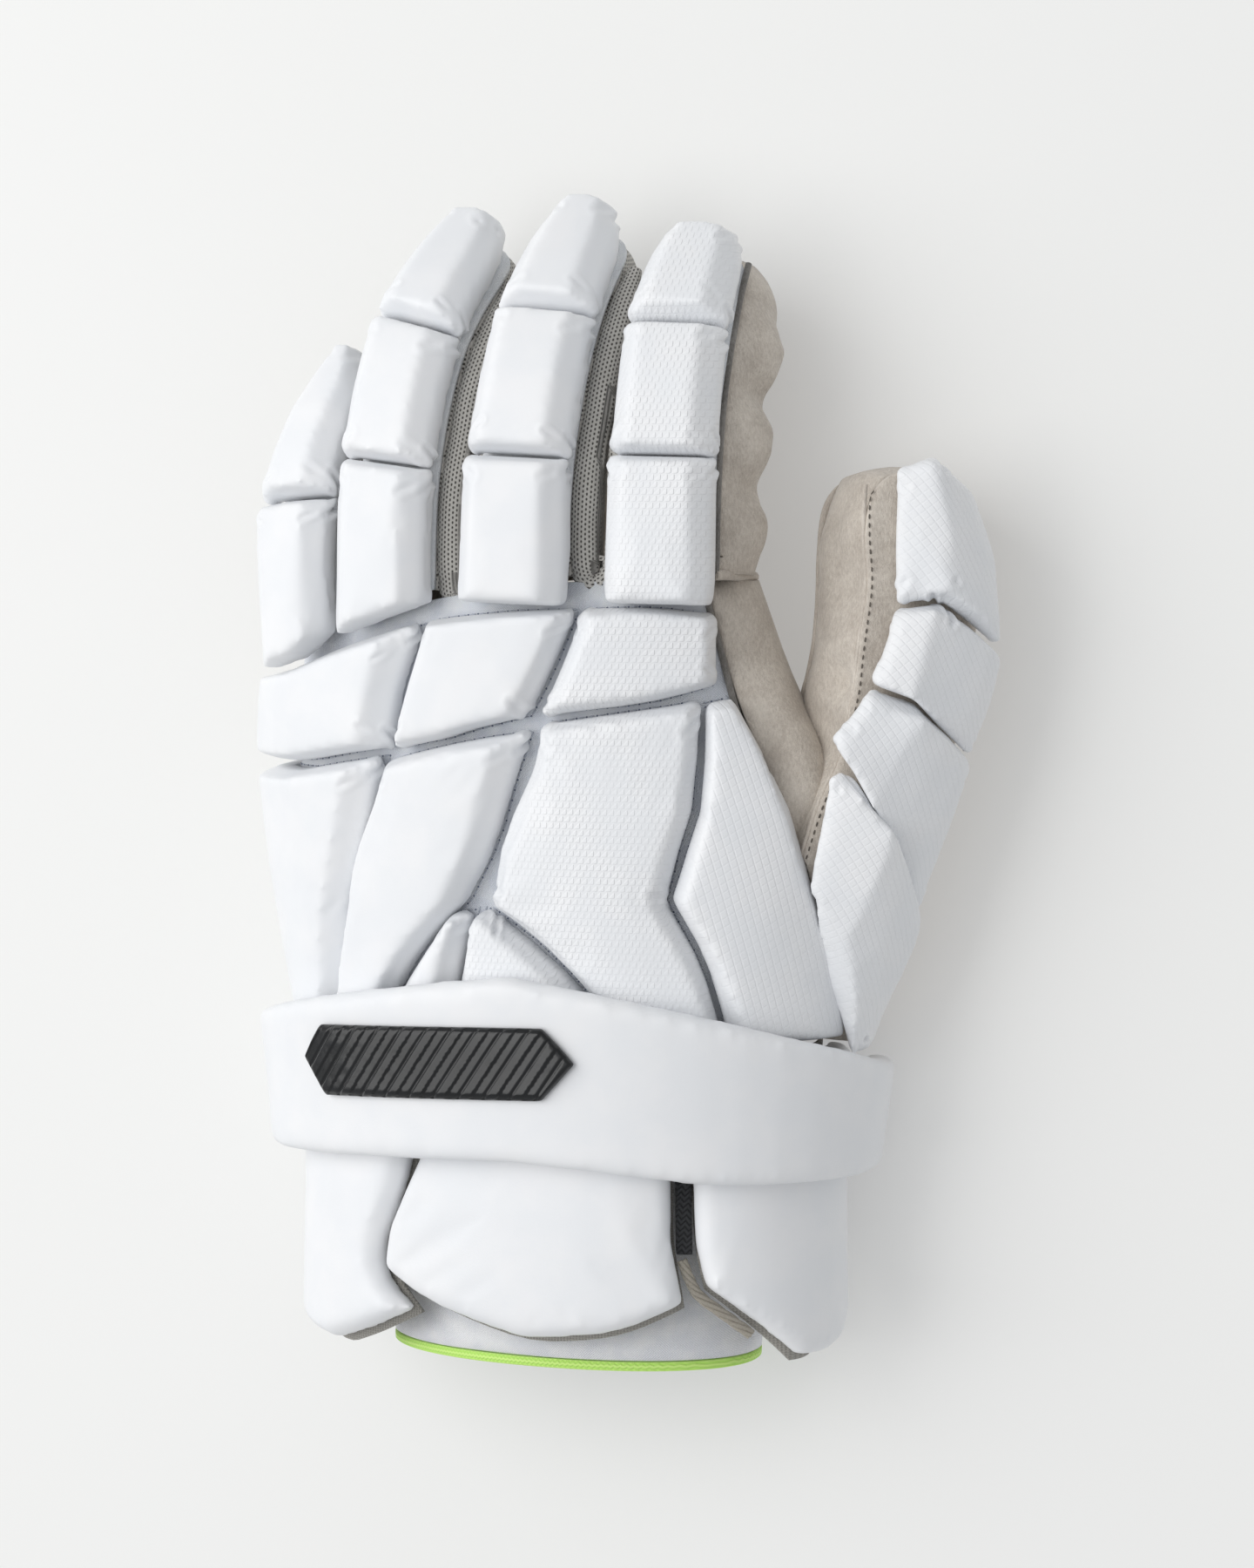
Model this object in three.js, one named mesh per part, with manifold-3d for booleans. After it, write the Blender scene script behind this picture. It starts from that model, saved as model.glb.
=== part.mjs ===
// A padded lacrosse glove for the left hand, lying on its palm: X runs to the thumb, Y to the fingertips
// and Z up out of the back of the hand. Lengths are millimetres and angles are degrees.
import * as THREE from "three";
import { mergeVertices } from "three/addons/utils/BufferGeometryUtils.js";
import Module from "manifold-3d";

const wasm = await Module();
wasm.setup();
const { clamp, degToRad, lerp } = THREE.MathUtils;

// Hand
const HAND_LENGTH = 128; // wrist to the crotches between the fingers
const HAND_WIDTH = 140; // across the knuckles, without pads
const PALM_DEPTH = 60; // palm to back at the wrist
const KNUCKLE_SWEEP = 16; // how far the little finger's knuckle lies behind the index finger's
const KNUCKLE_ARCH = 9; // how far the outer knuckles lie below the middle one
const SHELL_WALL = 2; // white backing and suede
const SEAM = 0.3; // clearance between neighbouring pieces
const SUEDE_TOP = 0.79; // share of the turn from little finger to thumb where the palm suede begins

// Pads
const PAD_HEIGHT = 12;
const PAD_SLOPE = 3.6; // how far a pad's top is drawn in from its foot at its sides
const PAD_ENDS = 1.6; // and at its ends, where it meets the next pad
const FINGER_PAD_HEIGHT = 12;
const FINGER_PAD_SLOPE = 5.5;
const FINGER_PAD_ENDS = 1.2;
const THUMB_PAD_HEIGHT = 9;
const THUMB_PAD_SLOPE = 5;
const THUMB_PAD_RIDGE = 6; // extra height along the middle of a thumb pad

// Fingers
const FINGER_DEPTH = 26; // palm strip to backing, inside
const FINGER_WALL = 1.6;
const TIP_RADIUS = 8;
const THUMB_TIP_RADIUS = 15;
const THUMB_DEPTH = 27;
const THUMB_WIDTH = 35;

// Cuff
const CUFF_LENGTH = 93; // wrist to the sleeve's rim
const SLEEVE_WALL = 2.6;
const SLEEVE_WIDTH = 113; // at the rim
const SLEEVE_TUCK = 13; // how far the sleeve reaches into the hand
const FLAP_THICKNESS = 8;
const LINING_THICKNESS = 1.6;
const STRAP_THICKNESS = 9;
const BINDING_WIDTH = 2.4;
const BADGE_THICKNESS = 2.6;
const TAB_THICKNESS = 1.6;
const LACE_DIAMETER = 2.4;

const COLOURS = {
  white: { color: "#e9edf1", roughness: 0.42 },
  base: { color: "#dfe4ec", roughness: 0.6 },
  suede: { color: "#a59f98", roughness: 0.95 },
  mesh: { color: "#8f8d89", roughness: 0.9 },
  lining: { color: "#8c8a86", roughness: 0.9 },
  lime: { color: "#b4f05a", roughness: 0.6 },
  black: { color: "#17181b", roughness: 0.25 },
  webbing: { color: "#232426", roughness: 0.85 },
  lace: { color: "#b9b4ab", roughness: 0.85 },
};

const glove = new THREE.Group();

// Sections of the hand from the wrist (at 0) to the finger crotches (at 1). left and right are shares of the
// hand's width, top and bottom of the palm's depth. square is 0 for an oval and 1 for a box.
const HAND_SECTIONS = [
  { at: 0.0, left: -0.56, right: 0.47, top: 1.0, bottom: -0.05, square: 0.2, arch: 0.2 },
  { at: 0.25, left: -0.6, right: 0.5, top: 1.02, bottom: -0.05, square: 0.25, arch: 0.3 },
  { at: 0.5, left: -0.63, right: 0.53, top: 1.04, bottom: 0.06, square: 0.3, arch: 0.6 },
  { at: 0.7, left: -0.635, right: 0.455, top: 1.05, bottom: 0.28, square: 0.35, arch: 0.9 },
  { at: 1.0, left: -0.6, right: 0.37, top: 1.05, bottom: 0.55, square: 0.45, arch: 1.0 },
];

// Sections of the flared cuff that the flaps and the band lie on, from above the wrist to the flaps' ends.
// at is a share of the cuff's length, left and right of the hand's width, top and bottom of the palm's depth.
const BELL_SECTIONS = [
  { at: -0.25, left: -0.58, right: 0.49, top: 1.01, bottom: 0.0, square: 0.22, arch: 0.2 },
  { at: 0.0, left: -0.56, right: 0.47, top: 1.0, bottom: 0.0, square: 0.2, arch: 0.2 },
  { at: 0.45, left: -0.545, right: 0.46, top: 1.04, bottom: 0.03, square: 0.2, arch: 0.1 },
  { at: 1.0, left: -0.54, right: 0.475, top: 1.1, bottom: 0.06, square: 0.2, arch: 0 },
];

// Sections of the inner sleeve: left and right are shares of the sleeve's width at its rim.
const SLEEVE_SECTIONS = [
  { at: -0.15, left: -0.65, right: 0.55, top: 0.95, bottom: 0.045, square: 0.2, arch: 0.2 },
  { at: 0.05, left: -0.63, right: 0.54, top: 0.95, bottom: 0.045, square: 0.2, arch: 0.2 },
  { at: 0.4, left: -0.57, right: 0.47, top: 0.94, bottom: -0.02, square: 0.15, arch: 0.1 },
  { at: 1.0, left: -0.535, right: 0.44, top: 1.0, bottom: -0.03, square: 0.1, arch: 0 },
];

// A named column of a table, read at a share between its rows on a smooth curve through them.
function column(rows, name, at) {
  let i = 0;
  while (i < rows.length - 2 && at > rows[i + 1].at) i += 1;
  const [from, to] = [rows[i], rows[i + 1]];
  const [before, after] = [rows[i - 1] ?? from, rows[i + 2] ?? to];
  const span = to.at - from.at;
  const t = (at - from.at) / span;
  const leave = ((to[name] - before[name]) / (to.at - before.at)) * span;
  const arrive = ((after[name] - from[name]) / (after.at - from.at)) * span;
  const [t2, t3] = [t * t, t * t * t];
  const bend = leave * (t3 - 2 * t2 + t) + arrive * (t3 - t2);
  return from[name] * (2 * t3 - 3 * t2 + 1) + to[name] * (3 * t2 - 2 * t3) + bend;
}

// A point of an oval section at a turn: 0 at the little finger's side, 0.5 on top, 1 at the thumb's side and
// 1.5 on the palm. Nothing lies below the floor that the glove rests on.
function ovalPoint({ left, right, top, bottom, square, arch }, turn, y) {
  const angle = Math.PI * (1 - turn);
  const power = 1 - 0.6 * square;
  const across = Math.sign(Math.cos(angle)) * Math.abs(Math.cos(angle)) ** power;
  const up = Math.sign(Math.sin(angle)) * Math.abs(Math.sin(angle)) ** power;
  const x = (left + right) / 2 + (across * (right - left)) / 2;
  const z = (top + bottom) / 2 + (up * (top - bottom)) / 2 - arch * across * across;
  return new THREE.Vector3(x, y, Math.max(0, z));
}

// A point of a tube's surface, read from its table of sections at a turn and a share of its length.
function tubePoint(rows, width, turn, along, y) {
  const section = {
    left: column(rows, "left", along) * width,
    right: column(rows, "right", along) * width,
    top: column(rows, "top", along) * PALM_DEPTH,
    bottom: column(rows, "bottom", along) * PALM_DEPTH,
    square: column(rows, "square", along),
    arch: column(rows, "arch", along) * KNUCKLE_ARCH,
  };
  return ovalPoint(section, turn, y);
}

// The hand's outer surface at a turn and a share of its length.
function handPoint(turn, along) {
  const point = tubePoint(HAND_SECTIONS, HAND_WIDTH, turn, along, 0);
  point.y = along * (HAND_LENGTH - knuckleSweep(point.x));
  return point;
}

// How far the knuckle at x lies behind the foremost one.
function knuckleSweep(x) {
  const share = clamp((0.18 * HAND_WIDTH - x) / (0.73 * HAND_WIDTH), 0, 1);
  return KNUCKLE_SWEEP * share * share;
}

// The cuff's forms run from the wrist (at 0) towards the sleeve's rim (at -1).
const cuffPoint = (rows, width) => (turn, along) => tubePoint(rows, width, turn, -along, along * CUFF_LENGTH);
const bellPoint = cuffPoint(BELL_SECTIONS, HAND_WIDTH);
const sleevePoint = cuffPoint(SLEEVE_SECTIONS, SLEEVE_WIDTH);

// Turns a surface into a space: a place across, along and at a height above it, measured square to it.
function above(surface) {
  return (across, along, height) => {
    const step = 0.004;
    const point = surface(across, along);
    const side = surface(across + step, along).sub(surface(across - step, along));
    const ahead = surface(across, along + step).sub(surface(across, along - step));
    return point.addScaledVector(side.cross(ahead).normalize(), height);
  };
}

const handSpace = above(handPoint);
const bellSpace = above(bellPoint);
const sleeveSpace = above(sleevePoint);

// Moves each corner of a geometry and closes it up again.
function warped(geometry, place) {
  const positions = geometry.getAttribute("position");
  const corner = new THREE.Vector3();
  for (let i = 0; i < positions.count; i += 1) {
    corner.fromBufferAttribute(positions, i);
    positions.setXYZ(i, ...place(corner.x, corner.y, corner.z));
  }
  geometry.deleteAttribute("normal");
  geometry.deleteAttribute("uv");
  return mergeVertices(geometry, 1e-3);
}

// A unit box cut into cells and warped: place gets shares across, along and up.
function warpedBox(cells, place) {
  return warped(new THREE.BoxGeometry(1, 1, 1, ...cells).translate(0.5, 0.5, 0.5), place);
}

// A value of a list read between its entries, at a share of the list's length.
function between(list, share, mix) {
  const at = clamp(share, 0, 1) * (list.length - 1);
  const i = Math.min(Math.floor(at), list.length - 2);
  return mix(list[i], list[i + 1], at - i);
}

// Outline rows of points [across, along] read at two shares: a from left to right, b from the first row on.
function outlinePoint(rows, a, b) {
  const mixed = (p, q, t) => [lerp(p[0], q[0], t), lerp(p[1], q[1], t)];
  return between(rows, b, (from, to, t) => mixed(between(from, a, mixed), between(to, a, mixed), t));
}

// A foam block on a space, from its outline rows: steep at its foot, with its top drawn in by slope at its
// sides and by ends at its ends. ridge adds height along the middle.
function pad(space, rows, { height, slope, ends = slope, ridge = 0, cells = [4, 5] }) {
  const foot = (a, b) => space(...outlinePoint(rows, a, b), 2 * SEAM);
  const wide = foot(0, 0.5).distanceTo(foot(1, 0.5));
  const long = foot(0.5, 0).distanceTo(foot(0.5, 1));
  const layers = [
    { up: 0, inset: 0.12 },
    { up: 0.55, inset: 0.08 },
    { up: 1, inset: 1 },
  ];
  return warpedBox([...cells, 2], (a, b, c) => {
    const layer = layers[Math.round(2 * c)];
    const [drawA, drawB] = [(layer.inset * slope) / wide, (layer.inset * ends) / long];
    const crest = ridge * layer.up * (1 - Math.abs(2 * a - 1));
    const outline = outlinePoint(rows, lerp(drawA, 1 - drawA, a), lerp(drawB, 1 - drawB, b));
    return space(...outline, 2 * SEAM + layer.up * height + crest);
  });
}

// A sheet on a space between two heights, from its outline rows.
function sheet(space, rows, low, high, cells) {
  return warpedBox([...cells, 1], (a, b, c) => space(...outlinePoint(rows, a, b), lerp(low, high, c)));
}

// A closed ring round a tube: profile points are [height above the surface, share along], outside first.
function ring(surface, profile, segments) {
  const radius = 100;
  const points = [...profile, profile[0]].map(([height, along]) => new THREE.Vector2(radius + height, along));
  return warped(new THREE.LatheGeometry(points, segments), (x, y, z) => {
    const turn = 1 - Math.atan2(z, x) / Math.PI;
    return above(surface)(turn, y, Math.hypot(x, z) - radius);
  });
}

// The solid inside a tube's surface raised by a height, between two shares of its length.
function core(surface, height, from, to, cells) {
  return warped(new THREE.CylinderGeometry(1, 1, 1, ...cells).translate(0, 0.5, 0), (x, y, z) => {
    const along = lerp(from, to, y);
    const turn = 1 - Math.atan2(z, x) / Math.PI;
    const middle = surface(0, along).add(surface(1, along)).multiplyScalar(0.5);
    return middle.lerp(above(surface)(turn, along, height), Math.min(1, Math.hypot(x, z)));
  });
}

// A closed geometry as a solid that can be cut.
function solid(geometry) {
  return new wasm.Manifold(
    new wasm.Mesh({
      numProp: 3,
      vertProperties: geometry.getAttribute("position").array,
      triVerts: new Uint32Array(geometry.index.array),
    }),
  );
}

function geometryOf(shape) {
  const { numProp, vertProperties, triVerts } = shape.getMesh();
  const positions = new Float32Array((vertProperties.length / numProp) * 3);
  for (let i = 0; i < positions.length / 3; i += 1) {
    positions.set(vertProperties.subarray(i * numProp, i * numProp + 3), i * 3);
  }
  const geometry = new THREE.BufferGeometry();
  geometry.setAttribute("position", new THREE.BufferAttribute(positions, 3));
  geometry.setIndex(new THREE.BufferAttribute(triVerts, 1));
  return geometry;
}

// The largest body of a shape, without the crumbs that a cut can leave.
function largestBody(shape) {
  return shape.decompose().reduce((best, body) => (body.volume() > best.volume() ? body : best));
}

function add(name, geometry, colour) {
  const mesh = new THREE.Mesh(geometry, new THREE.MeshStandardMaterial(COLOURS[colour]));
  mesh.name = name;
  glove.add(mesh);
  return mesh;
}

// Fingers: x and z are the middle of the finger's root, roll its turn to the outside, bends its three lengths
// as shares of length, leans their headings towards the thumb, dips how steeply each points down and bellies
// how far its left and right side walls bulge.
const FINGERS = [
  {
    name: "little",
    x: -72.5,
    z: 40,
    width: 20,
    length: 70,
    roll: -14,
    bends: [0.4, 0.3, 0.3],
    leans: [-2, 5, 16],
    dips: [3, 14, 26],
    bellies: [3, 1],
  },
  {
    name: "ring",
    x: -45.5,
    z: 46.5,
    width: 25,
    length: 102,
    roll: -8,
    bends: [0.35, 0.34, 0.31],
    leans: [1, 6, 14],
    dips: [3, 16, 38],
    bellies: [1, 3.5],
  },
  {
    name: "middle",
    x: -8.5,
    z: 49,
    width: 27,
    length: 98,
    roll: 0,
    bends: [0.34, 0.35, 0.31],
    leans: [2, 4.5, 7],
    dips: [3, 17, 38],
    bellies: [2.5, 3.5],
  },
  {
    name: "index",
    x: 31,
    z: 45,
    width: 28,
    length: 88,
    roll: 5,
    bends: [0.35, 0.34, 0.31],
    leans: [0.5, 1, 1],
    dips: [3, 14, 34],
    bellies: [2.5, 7.5],
  },
];

// The thumb's bones: each row is where its middle line passes.
const THUMB_LINE = [
  [56, 5, 25],
  [67, 36, 27],
  [79, 74, 28],
  [87.5, 105, 27.5],
  [88.5, 135, 26],
  [89, 158, 24],
];
const THUMB_ROLL = 42;

// A space round a middle line: x to the side, y millimetres along it and z out of its back.
function lineSpace(points, roll) {
  const curve = new THREE.CatmullRomCurve3(points, false, "centripetal");
  const length = curve.getLength();
  const space = (x, y, z) => {
    const share = clamp(y / length, 0, 1);
    const middle = curve.getPointAt(share);
    const ahead = curve.getTangentAt(share);
    const side = new THREE.Vector3(ahead.y, -ahead.x, 0).normalize().applyAxisAngle(ahead, degToRad(roll));
    const up = side.clone().cross(ahead);
    return middle
      .addScaledVector(ahead, y - share * length)
      .addScaledVector(side, x)
      .addScaledVector(up, z);
  };
  return { space, length };
}

function fingerLine({ x, z, length, bends, leans, dips }) {
  const points = [new THREE.Vector3(x, HAND_LENGTH - knuckleSweep(x), z)];
  bends.forEach((share, i) => {
    const ahead = new THREE.Vector3(Math.sin(degToRad(leans[i])), Math.cos(degToRad(leans[i])), 0);
    ahead.multiplyScalar(Math.cos(degToRad(dips[i]))).setZ(-Math.sin(degToRad(dips[i])));
    points.push(points[i].clone().addScaledVector(ahead, share * length));
  });
  return points;
}

// Half the width of a stall at a place along it: its tip has round corners.
function stallHalf({ half, length, tip }, y) {
  const past = Math.max(0, y - (length - tip)) / tip;
  return half - tip * (1 - Math.sqrt(Math.max(0, 1 - past * past)));
}

// The side wall of a stall from one root round the tip to the other: from and to are shares of that way and
// bellies how far each side bulges.
function stallWall(stall, [from, to], cells, ruffle = () => 0) {
  const { space, length, half, depth, tip, rootAt, bellies } = stall;
  const round = new THREE.Path();
  round.moveTo(-half, rootAt(-half));
  round.lineTo(-half, length - tip);
  round.absarc(-half + tip, length - tip, tip, Math.PI, Math.PI / 2, true);
  round.lineTo(half - tip, length);
  round.absarc(half - tip, length - tip, tip, Math.PI / 2, 0, true);
  round.lineTo(half, rootAt(half));
  return warpedBox([cells, 4, 1], (a, b, c) => {
    const share = lerp(from, to, a);
    const [at, way] = [round.getPointAt(share), round.getTangentAt(share)];
    const belly = lerp(...bellies, (at.x / half + 1) / 2) + ruffle(share);
    const out = belly * (1 - (2 * b - 1) ** 2) - lerp(FINGER_WALL, 0, c);
    return space(at.x - way.y * out, at.y + way.x * out, lerp(depth / 2, -depth / 2, b));
  });
}

// The strip that closes a stall above (side 1) or below (side -1).
function stallStrip(stall, side, crown) {
  const { space, length, half, depth, rootAt } = stall;
  return warpedBox([4, 12, 1], (a, b, c) => {
    const y = lerp(rootAt((2 * a - 1) * half), length, 1 - (1 - b) ** 1.6);
    const low = depth / 2 + SEAM + crown * (1 - (2 * a - 1) ** 2);
    const x = (2 * a - 1) * stallHalf(stall, y);
    return space(x, y, side > 0 ? lerp(low, low + SHELL_WALL, c) : -lerp(low + SHELL_WALL, low, c));
  });
}

// Finger pads, from the knuckle to the tip. Each row of points is [share of the stall's half width, share of
// the finger's length].
const FINGER_PADS = {
  little: [
    {
      name: "little_pad_lower",
      rows: [[[-1.15, -0.18], [0.2, -0.13], [1.15, -0.03]], [[-1.3, 0.43], [0, 0.45], [1.3, 0.46]]],
    },
    {
      name: "little_pad_tip",
      rows: [[[-1.3, 0.46], [1.3, 0.49]], [[-0.9, 0.8], [1.15, 0.8]], [[-0.3, 1.02], [0.45, 1.03]]],
    },
  ],
  ring: [
    { name: "ring_pad_lower", rows: [[[-1.15, -0.1], [1.15, 0.0]], [[-1.15, 0.355], [1.12, 0.335]]] },
    { name: "ring_pad_middle", rows: [[[-1.15, 0.37], [1.1, 0.35]], [[-1.15, 0.69], [1.1, 0.66]]] },
    {
      name: "ring_pad_tip",
      rows: [[[-1.15, 0.705], [1.1, 0.675]], [[-1.0, 0.88], [0.98, 0.88]], [[-0.6, 1.02], [0.65, 1.03]]],
    },
  ],
  middle: [
    { name: "middle_pad_lower", rows: [[[-1.17, -0.065], [1.17, -0.065]], [[-1.15, 0.32], [1.12, 0.32]]] },
    { name: "middle_pad_middle", rows: [[[-1.12, 0.335], [1.12, 0.335]], [[-1.05, 0.675], [1.12, 0.675]]] },
    {
      name: "middle_pad_tip",
      rows: [[[-1.05, 0.69], [1.1, 0.69]], [[-0.85, 0.9], [0.95, 0.9]], [[-0.5, 1.03], [0.6, 1.03]]],
    },
  ],
  index: [
    { name: "index_pad_lower", rows: [[[-1.1, -0.09], [1.08, -0.09]], [[-1.05, 0.34], [1.08, 0.34]]] },
    { name: "index_pad_middle", rows: [[[-1.03, 0.355], [1.08, 0.355]], [[-1.0, 0.69], [1.04, 0.69]]] },
    {
      name: "index_pad_tip",
      rows: [[[-1.0, 0.705], [1.05, 0.705]], [[-0.8, 0.9], [1.02, 0.9]], [[-0.5, 1.01], [0.8, 1.01]]],
    },
  ],
};

// Thumb pads, from the hand to the tip, in the same shares of the thumb's stall.
const THUMB_PADS = [
  {
    name: "thumb_pad_root",
    rows: [
      [[0.72, 0.02], [0.9, 0.015], [1.12, 0.015]],
      [[0.0, 0.12], [0.6, 0.11], [1.15, 0.11]],
      [[-0.85, 0.28], [0.1, 0.22], [1.18, 0.21]],
      [[-1.0, 0.475], [-0.5, 0.465], [0.3, 0.375], [1.15, 0.25]],
    ],
  },
  {
    name: "thumb_pad_lower",
    rows: [
      [[-1.15, 0.53], [-0.52, 0.48], [0.3, 0.39], [1.18, 0.27]],
      [[-0.78, 0.62], [0.0, 0.61], [1.15, 0.54]],
    ],
  },
  {
    name: "thumb_pad_middle",
    rows: [[[-0.8, 0.635], [0.0, 0.625], [1.15, 0.555]], [[-0.5, 0.75], [0.2, 0.76], [1.28, 0.69]]],
  },
  {
    name: "thumb_pad_tip",
    rows: [
      [[-0.5, 0.765], [0.2, 0.775], [1.25, 0.705]],
      [[-0.55, 0.88], [0.2, 0.88], [1.08, 0.85]],
      [[-0.55, 0.985], [0.0, 1.01], [0.7, 0.955]],
    ],
  },
];

// Pads on the back of the hand. Each row of points is [turn, share of the hand's length].
const HAND_PADS = [
  {
    name: "knuckle_pad_little",
    rows: [
      [[-0.06, 0.67], [0.15, 0.68], [0.38, 0.675]],
      [[-0.06, 0.78], [0.15, 0.79], [0.4, 0.8]],
      [[-0.06, 0.86], [0.14, 0.9], [0.435, 0.945]],
    ],
  },
  {
    name: "knuckle_pad_middle",
    rows: [[[0.392, 0.67], [0.45, 0.68], [0.515, 0.715]], [[0.447, 0.945], [0.51, 0.94], [0.572, 0.935]]],
  },
  {
    name: "knuckle_pad_index",
    rows: [[[0.53, 0.715], [0.64, 0.735], [0.755, 0.775]], [[0.585, 0.935], [0.68, 0.935], [0.785, 0.92]]],
  },
  {
    name: "back_pad_little",
    rows: [[[-0.06, 0.01], [0.22, 0.01]], [[-0.06, 0.3], [0.275, 0.3]], [[-0.06, 0.65], [0.365, 0.65]]],
  },
  {
    name: "back_pad_middle",
    rows: [
      [[0.23, 0.01], [0.3, 0.01]],
      [[0.255, 0.15], [0.355, 0.15]],
      [[0.285, 0.3], [0.445, 0.31]],
      [[0.305, 0.42], [0.475, 0.42]],
      [[0.38, 0.64], [0.515, 0.675]],
    ],
  },
  { name: "back_gusset_little", rows: [[[0.31, 0.01], [0.41, 0.01]], [[0.435, 0.275], [0.452, 0.28]]] },
  { name: "back_gusset_index", rows: [[[0.418, 0.01], [0.6, 0.01]], [[0.462, 0.28], [0.47, 0.28]]] },
  {
    name: "back_pad_index",
    rows: [
      [[0.612, 0.01], [0.74, 0.01]],
      [[0.54, 0.17], [0.7, 0.17]],
      [[0.478, 0.3], [0.643, 0.31]],
      [[0.487, 0.45], [0.655, 0.45]],
      [[0.532, 0.69], [0.722, 0.735]],
    ],
  },
];
const THUMB_SIDE_ROWS = [
  [[0.755, 0.01], [0.87, 0.01], [0.97, 0.01]],
  [[0.705, 0.2], [0.8, 0.17], [0.955, 0.17]],
  [[0.655, 0.32], [0.74, 0.3], [0.895, 0.27]],
  [[0.67, 0.45], [0.735, 0.45], [0.815, 0.45]],
  [[0.735, 0.73], [0.755, 0.735], [0.775, 0.74]],
];

// Cuff flaps on the bell, from their free ends up. Each row of points is [turn, share of the cuff's length].
const FLAPS = [
  {
    name: "little",
    rows: [
      [[-0.08, -0.86], [0.08, -0.95], [0.2, -0.97], [0.28, -0.92], [0.362, -0.84]],
      [[-0.08, -0.72], [0.298, -0.74]],
      [[-0.08, -0.63], [0.31, -0.63]],
      [[-0.08, -0.36], [0.365, -0.36]],
      [[-0.08, -0.02], [0.38, -0.02]],
    ],
  },
  {
    name: "middle",
    rows: [
      [[0.312, -0.72], [0.38, -0.81], [0.5, -0.9], [0.6, -0.87], [0.695, -0.775]],
      [[0.32, -0.6], [0.678, -0.6]],
      [[0.375, -0.36], [0.676, -0.36]],
      [[0.39, -0.02], [0.676, -0.02]],
    ],
  },
  {
    name: "thumb",
    rows: [
      [[0.725, -0.72], [0.8, -0.82], [0.9, -0.945], [0.98, -0.945], [1.07, -0.86]],
      [[0.71, -0.6], [1.08, -0.6]],
      [[0.703, -0.36], [1.08, -0.36]],
      [[0.703, -0.02], [1.08, -0.02]],
    ],
  },
];
const BADGE_ROWS = [
  [[0.275, -0.2], [0.535, -0.17]],
  [[0.24, -0.08], [0.57, -0.05]],
  [[0.275, 0.04], [0.535, 0.07]],
];
const TAB_ROWS = [
  [[0.683, -0.63], [0.708, -0.63]],
  [[0.68, -0.25], [0.704, -0.25]],
];
const LACE_LINE = [
  [0.692, -0.648],
  [0.703, -0.705],
  [0.718, -0.753],
  [0.761, -0.813],
  [0.805, -0.869],
];
const STRAP_ROWS = [
  [[-0.1, -0.4], [0.0, -0.41], [0.25, -0.39], [0.5, -0.37], [0.75, -0.42], [1.0, -0.41], [1.1, -0.4]],
  [[-0.1, 0.0], [0.0, 0.03], [0.25, 0.13], [0.5, 0.22], [0.75, 0.1], [1.0, -0.05], [1.1, -0.06]],
];

// Where the hand's front edge meets a finger, measured along the finger at x to the side of its middle line.
function fingerRoot(finger) {
  return (x) => knuckleSweep(finger.x) - knuckleSweep(finger.x + x) + 4 * SEAM;
}

const CASES = FINGERS.map((finger) => ({
  ...finger,
  ...lineSpace(fingerLine(finger), finger.roll),
  half: finger.width / 2,
  depth: FINGER_DEPTH,
  tip: TIP_RADIUS,
  rootAt: fingerRoot(finger),
}));
const THUMB = {
  ...lineSpace(THUMB_LINE.map((point) => new THREE.Vector3(...point)), THUMB_ROLL),
  half: THUMB_WIDTH / 2,
  depth: THUMB_DEPTH,
  tip: THUMB_TIP_RADIUS,
  rootAt: () => 2 * SEAM,
  bellies: [3, 2],
};

// The pads of a finger or thumb, laid on its backing strip.
function stallPads({ space, length, half, depth }, pads, crown, shape) {
  const lifted = (x, y, z) => space(x, y, depth / 2 + SEAM + crown + SHELL_WALL + z);
  return pads.map(({ name, rows }) => {
    const outline = rows.map((row) => row.map(([a, b]) => [a * half, b * length]));
    return [name, pad(lifted, outline, shape)];
  });
}

// A finger's case: side wall, backing, palm strip and pads.
function buildFinger(finger) {
  const { name } = finger;
  if (name === "index") {
    const ruffle = (share) => (share > 0.62 ? 4 * Math.abs(Math.sin((share - 0.62) * 8 * Math.PI)) : 0);
    add("index_mesh_wall", stallWall(finger, [0, 0.55], 12), "mesh");
    add("index_suede_wall", stallWall(finger, [0.553, 1], 18, ruffle), "suede");
  } else {
    add(`${name}_mesh_wall`, stallWall(finger, [0, 1], 20), "mesh");
  }
  add(`${name}_backing`, stallStrip(finger, 1, 1.5), "base");
  add(`${name}_palm_strip`, stallStrip(finger, -1, 2), "suede");
  const shape = { height: FINGER_PAD_HEIGHT, slope: FINGER_PAD_SLOPE, ends: FINGER_PAD_ENDS };
  for (const [padName, geometry] of stallPads(finger, FINGER_PADS[name], 1.5, shape)) {
    add(padName, geometry, "white");
  }
}

// The webs that close the hand between two fingers.
function buildWebs() {
  for (let i = 0; i < CASES.length - 1; i += 1) {
    const [left, right] = [CASES[i], CASES[i + 1]];
    const web = warpedBox([5, 4, 1], (a, b, c) => {
      const bow = 1 - (2 * b - 1) ** 2;
      const z = lerp(FINGER_DEPTH / 2, -FINGER_DEPTH / 2, b) * 0.9;
      const leave = left.half + left.bellies[1] * bow + 2 * SEAM;
      const arrive = -right.half - right.bellies[0] * bow - 2 * SEAM;
      const from = left.space(leave, left.rootAt(left.half) + 1, z);
      const to = right.space(arrive, right.rootAt(-right.half) + 1, z);
      return from.lerp(to, a).add(new THREE.Vector3(0, 3 * Math.sin(Math.PI * a) + FINGER_WALL * c, 0));
    });
    add(`${left.name}_${right.name}_web`, web, "mesh");
  }
}

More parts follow.
